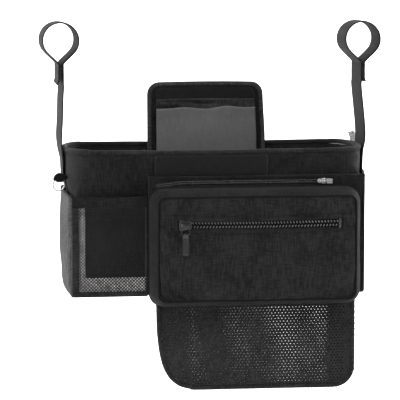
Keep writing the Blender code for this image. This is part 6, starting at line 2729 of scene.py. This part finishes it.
@dataclass
class Net(Assembly):
    """The hanging honeycomb net with its bound edges."""

    cell: float = 2.08 * MM
    hole: float = 0.5
    thread: float = 0.5 * MM
    apart: tuple = (2.12 * MM, -0.4 * MM)
    right_corner: float = 22 * MM
    left_curve: tuple = ((0.7, 80.0), (1.0, 66.0), (1.9, 54.0), (3.2, 43.4), (5.2, 32.9), (8.1, 23.4),
        (12.2, 15.4), (17.4, 9.6), (24.7, 4.6), (35.5, 1.6), (48.0, 0.4))
    binding_wide: float = 4.2 * MM
    binding_thick: float = 2.2 * MM
    pleat_sides: tuple = (0.1165, 0.1325)

    def __post_init__(self) -> None:
        """Reads the space that the solids hold."""
        self.low, self.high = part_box("net_binding")
        self.back_low, self.back_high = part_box("net_back")

    def drape(self, x: np.ndarray, z: np.ndarray, front: bool) -> tuple:
        """Depth of the net, with its hanging folds.

        Args:
            x: Places across.
            z: Levels.
            front: Whether it is the front layer.

        Returns:
            The depth at each place, and how far the cloth slides across
            and up.
        """
        base = self.low.y + 1 * MM if front else self.back_low.y + 1 * MM
        level = np.clip((z - self.low.z) / (self.high.z - self.low.z), 0, 1)
        loose = np.sin(level * np.pi) ** 0.8
        wave = Ripples(81, 70 * MM, waves=10, lean=10, spread=70).at(x, z)
        folds = crease(x, z, (-0.040, -0.262), (-0.012, -0.335), 0.006) * 2.0 * MM
        folds += crease(x, z, (0.116, -0.262), (0.120, -0.352), 0.006) * 1.8 * MM
        folds -= crease(x, z, (0.02, -0.262), (0.05, -0.34), 0.012) * 1.2 * MM
        depth = base - (wave * 0.9 * MM * loose + folds * loose)
        if front:
            return depth, 0.0, 0.0
        middle = (self.low.x + self.high.x) / 2
        half = (self.high.x - self.low.x) / 2
        side = eased(np.abs(x - middle) / half, 0.62, 0.95)
        slide = self.apart[0] + 1.2 * MM * side + wave * 0.25 * MM
        return depth, slide, self.apart[1] + 0.5 * MM * side

    def layer(self, name: str, node: str, front: bool) -> None:
        """One layer of honeycomb net.

        Args:
            name: The piece's name.
            node: The CAD node that it stands for.
            front: Whether it is the front layer.
        """
        inset = 1.5 * MM
        low = (self.low.x + inset, self.low.z + inset)
        high = (self.high.x - inset, self.high.z - 0.3 * MM)
        net = open_fabric(self.shop, name, low, high, self.covers if front else lambda x,
            z: self.covers(x + 2.0 * MM, z, 2.2 * MM), 6, self.cell,
            self.hole if front else self.hole * 0.66, (1.0, 0.96, 1.0))
        bend(net, lambda x, z: self.drape(x, z, front))
        thicken(net, self.thread)
        finishes = self.looks
        # The back layer's lighter netting is painted light, seen through the front layer's holes.
        finish = finishes.netting if front else finishes.back_netting_painted_light
        self.shop.fit(net, finish, "netting", (node,))
        wide, tall = high[0] - low[0], high[1] - low[1]
        wide * tall * 0.75

    def pleat(self) -> None:
        """A narrow third layer where the net is folded near the right."""
        low = (self.pleat_sides[0], self.low.z + 5 * MM)
        high = (self.pleat_sides[1], self.high.z - 0.5 * MM)
        net = open_fabric(self.shop, "net_pleat", low, high, self.covers, 6, self.cell, self.hole,
            (0.9, 0.96, 1.0))
        bend(net, lambda x, z: self.drape(x, z, True)[0] + 2.2 * MM)
        thicken(net, self.thread)
        self.shop.fit(net, self.looks.netting, "netting")

    def outline(self, inset: float) -> np.ndarray:
        """Left edge, foot and right edge of the net.

        Args:
            inset: How far inside the outer edge it runs.

        Returns:
            The points, (n, 2), from the top left round to the top right.
        """
        low, high = self.low, self.high
        left = [(low.x + 0.4 * MM, high.z)]
        left += [(low.x + x * MM, low.z + z * MM) for x, z in self.left_curve]
        radius = self.right_corner
        right = [(high.x - 2.2 * radius, low.z)]
        for degrees in range(270, 361, 15):
            right.append(on_circle((high.x - radius, low.z + radius), radius, degrees))
        right.append((high.x, high.z))
        line = resampled(smoothed(left + right), 2.2 * MM)
        along = unit(np.gradient(line, axis=0))
        return line + np.column_stack([-along[:, 1], along[:, 0]]) * inset

    def covers(self, x: np.ndarray, z: np.ndarray, inset: float = 1.5 * MM) -> np.ndarray:
        """Whether places lie inside the net's outline.

        Args:
            x: Places across.
            z: Levels.
            inset: How far inside the outer edge the outline runs.

        Returns:
            True inside.
        """
        line = self.outline(inset)
        inside = np.zeros(len(x), bool)
        for (x0, z0), (x1, z1) in zip(line, np.roll(line, -1, axis=0)):
            crosses = (z0 > z) != (z1 > z)
            if abs(z1 - z0) > 1e-9:
                meet = x0 + (z - z0) / (z1 - z0) * (x1 - x0)
                inside ^= crosses & (x < meet)
        return inside

    def edges(self) -> None:
        """Bound edges of both layers and the side strip between them."""
        inset = self.binding_wide / 2
        flat = self.outline(inset)
        for name, node, low, high, seed in (("net_binding_tape", "net_binding", self.low, self.high, 84),
                ("net_back_tape", "net_back", self.back_low, self.back_high, 85)):
            wave = Ripples(seed, 60 * MM).over(flat) * 0.4 * MM
            depth = (low.y + high.y) / 2 + wave
            tape = sweep(name, upright(flat, depth), oval(self.binding_wide, self.binding_thick, 3.0), FRONT)
            self.shop.fit(tape, self.looks.binding, "binding", (node,))
        inner = self.outline(2 * inset - 0.8 * MM)
        row = upright(inner, (self.low.y + self.high.y) / 2 - self.binding_thick / 2)
        self.shop.stitches("net_stitches", [(row, FRONT)])
        low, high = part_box("net_gusset")
        share = np.linspace(0, 1, 6)
        outline = self.outline(0.6 * MM)
        out = unit(outline - self.outline(1.6 * MM))
        rows = []
        for part in share:
            depth = low.y - 0.4 * MM + (high.y - low.y + 0.8 * MM) * part
            pull = -0.8 * MM * math.sin(math.pi * part)
            rows.append(upright(outline + out * pull, depth))
        strip = sheet_shell("net_side", np.array(rows), 0.5 * MM, -UP)
        self.shop.fit(strip, self.looks.cloth, "fabric_black", ("net_gusset",))

    def build(self) -> None:
        """Builds and dresses the net."""
        self.edges()
        self.layer("net_front_layer", "net_front", True)
        self.layer("net_back_layer", "net_back_panel", False)
        self.pleat()


# ---- Studio ----


@dataclass(frozen=True)
class Lamp:
    """A square soft box."""

    name: str
    place: tuple
    size: float
    power: float

    def hang(self, aim: Vector) -> None:
        """Hangs the lamp and turns it to a point.

        Args:
            aim: The point.
        """
        light = bpy.data.lights.new(self.name, "AREA")
        light.shape = "SQUARE"
        light.size = self.size
        light.energy = self.power
        lamp = placed(self.name, light)
        lamp.location = self.place
        lamp.rotation_euler = ((aim - Vector(self.place)).to_track_quat("-Z", "Y").to_euler())


@dataclass
class Studio:
    """Pale floor that sweeps up behind, soft lights and the camera."""

    camera_place: tuple = (-0.31736, -2.38234, 0.10685)
    target: tuple = (-0.01436, -0.01709, -0.16483)
    lens: float = 205.7
    sensor: float = 36.0
    floor_level: float = -0.72
    sweep_start: float = 2.7
    sweep_radius: float = 1.4
    floor_tone: float = 0.9
    world_strength: float = 0.65
    lamps: tuple = (Lamp("key_light", (-1.8, -1.7, 1.5), 1.1, 42.0),
        Lamp("right_light", (2.2, -0.9, 0.6), 1.0, 46.0), Lamp("left_light", (-2.2, -0.5, 0.1), 1.0, 30.0),
        Lamp("top_light", (0.1, 0.2, 2.2), 1.4, 30.0))
    wall_lamps: tuple = (Lamp("wall_light_left", (-2.6, 2.2, 1.1), 1.6, 170.0),
        Lamp("wall_light_right", (2.6, 2.2, 1.1), 1.6, 170.0))
    wall_aim: tuple = (0.0, 3.4, -0.4)

    def floor(self) -> None:
        """The floor and the wall behind it as one sweep."""
        profile = [(-9.0, self.floor_level), (self.sweep_start, self.floor_level)]
        for part in range(1, 13):
            angle = math.radians(part * 7.5)
            profile.append((self.sweep_start + self.sweep_radius * math.sin(angle),
                self.floor_level + self.sweep_radius * (1 - math.cos(angle))))
        profile.append((self.sweep_start + self.sweep_radius, 5.0))
        points, faces = [], []
        for y, z in profile:
            points += [(-9.0, y, z), (9.0, y, z)]
        for index in range(len(profile) - 1):
            a = index * 2
            faces.append((a, a + 1, a + 3, a + 2))
        mesh = bpy.data.meshes.new("studio_floor")
        mesh.from_pydata(points, [], faces)
        mesh.shade_smooth()
        floor = placed("studio_floor", mesh)
        floor.data.materials.append(Paint("studio_white", self.floor_tone).made())

    def camera(self) -> None:
        """The camera at the photograph's angle."""
        lens = bpy.data.cameras.new("camera")
        lens.lens = self.lens
        lens.sensor_width = self.sensor
        lens.sensor_fit = "HORIZONTAL"
        lens.clip_end = 50
        camera = placed("camera", lens)
        camera.location = self.camera_place
        aim = Vector(self.target) - Vector(self.camera_place)
        camera.rotation_euler = aim.to_track_quat("-Z", "Y").to_euler()
        bpy.context.scene.camera = camera

    def build(self) -> None:
        """Builds the studio."""
        self.floor()
        self.camera()
        for lamp in self.lamps:
            lamp.hang(Vector(self.target))
        for lamp in self.wall_lamps:
            lamp.hang(Vector(self.wall_aim))
        world = bpy.data.worlds.new("studio")
        world.use_nodes = True
        sky = world.node_tree.nodes["Background"]
        sky.inputs["Color"].default_value = (1, 1, 1, 1)
        sky.inputs["Strength"].default_value = self.world_strength
        bpy.context.scene.world = world
        bpy.context.scene.view_settings.view_transform = "Standard"
        LOG.info("studio is ready")


def main() -> None:
    """Builds every sub-assembly around the frame."""
    logging.basicConfig(level=logging.INFO, format="%(name)s %(message)s")
    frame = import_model()
    Studio().build()
    shop = Workshop(frame["nodes"])
    for part in (Tub, Compartment, PhonePocket, Gussets, Straps, Ring, Flap, Net, Pouch):
        part(shop).build()


if __name__ == "__main__":
    main()
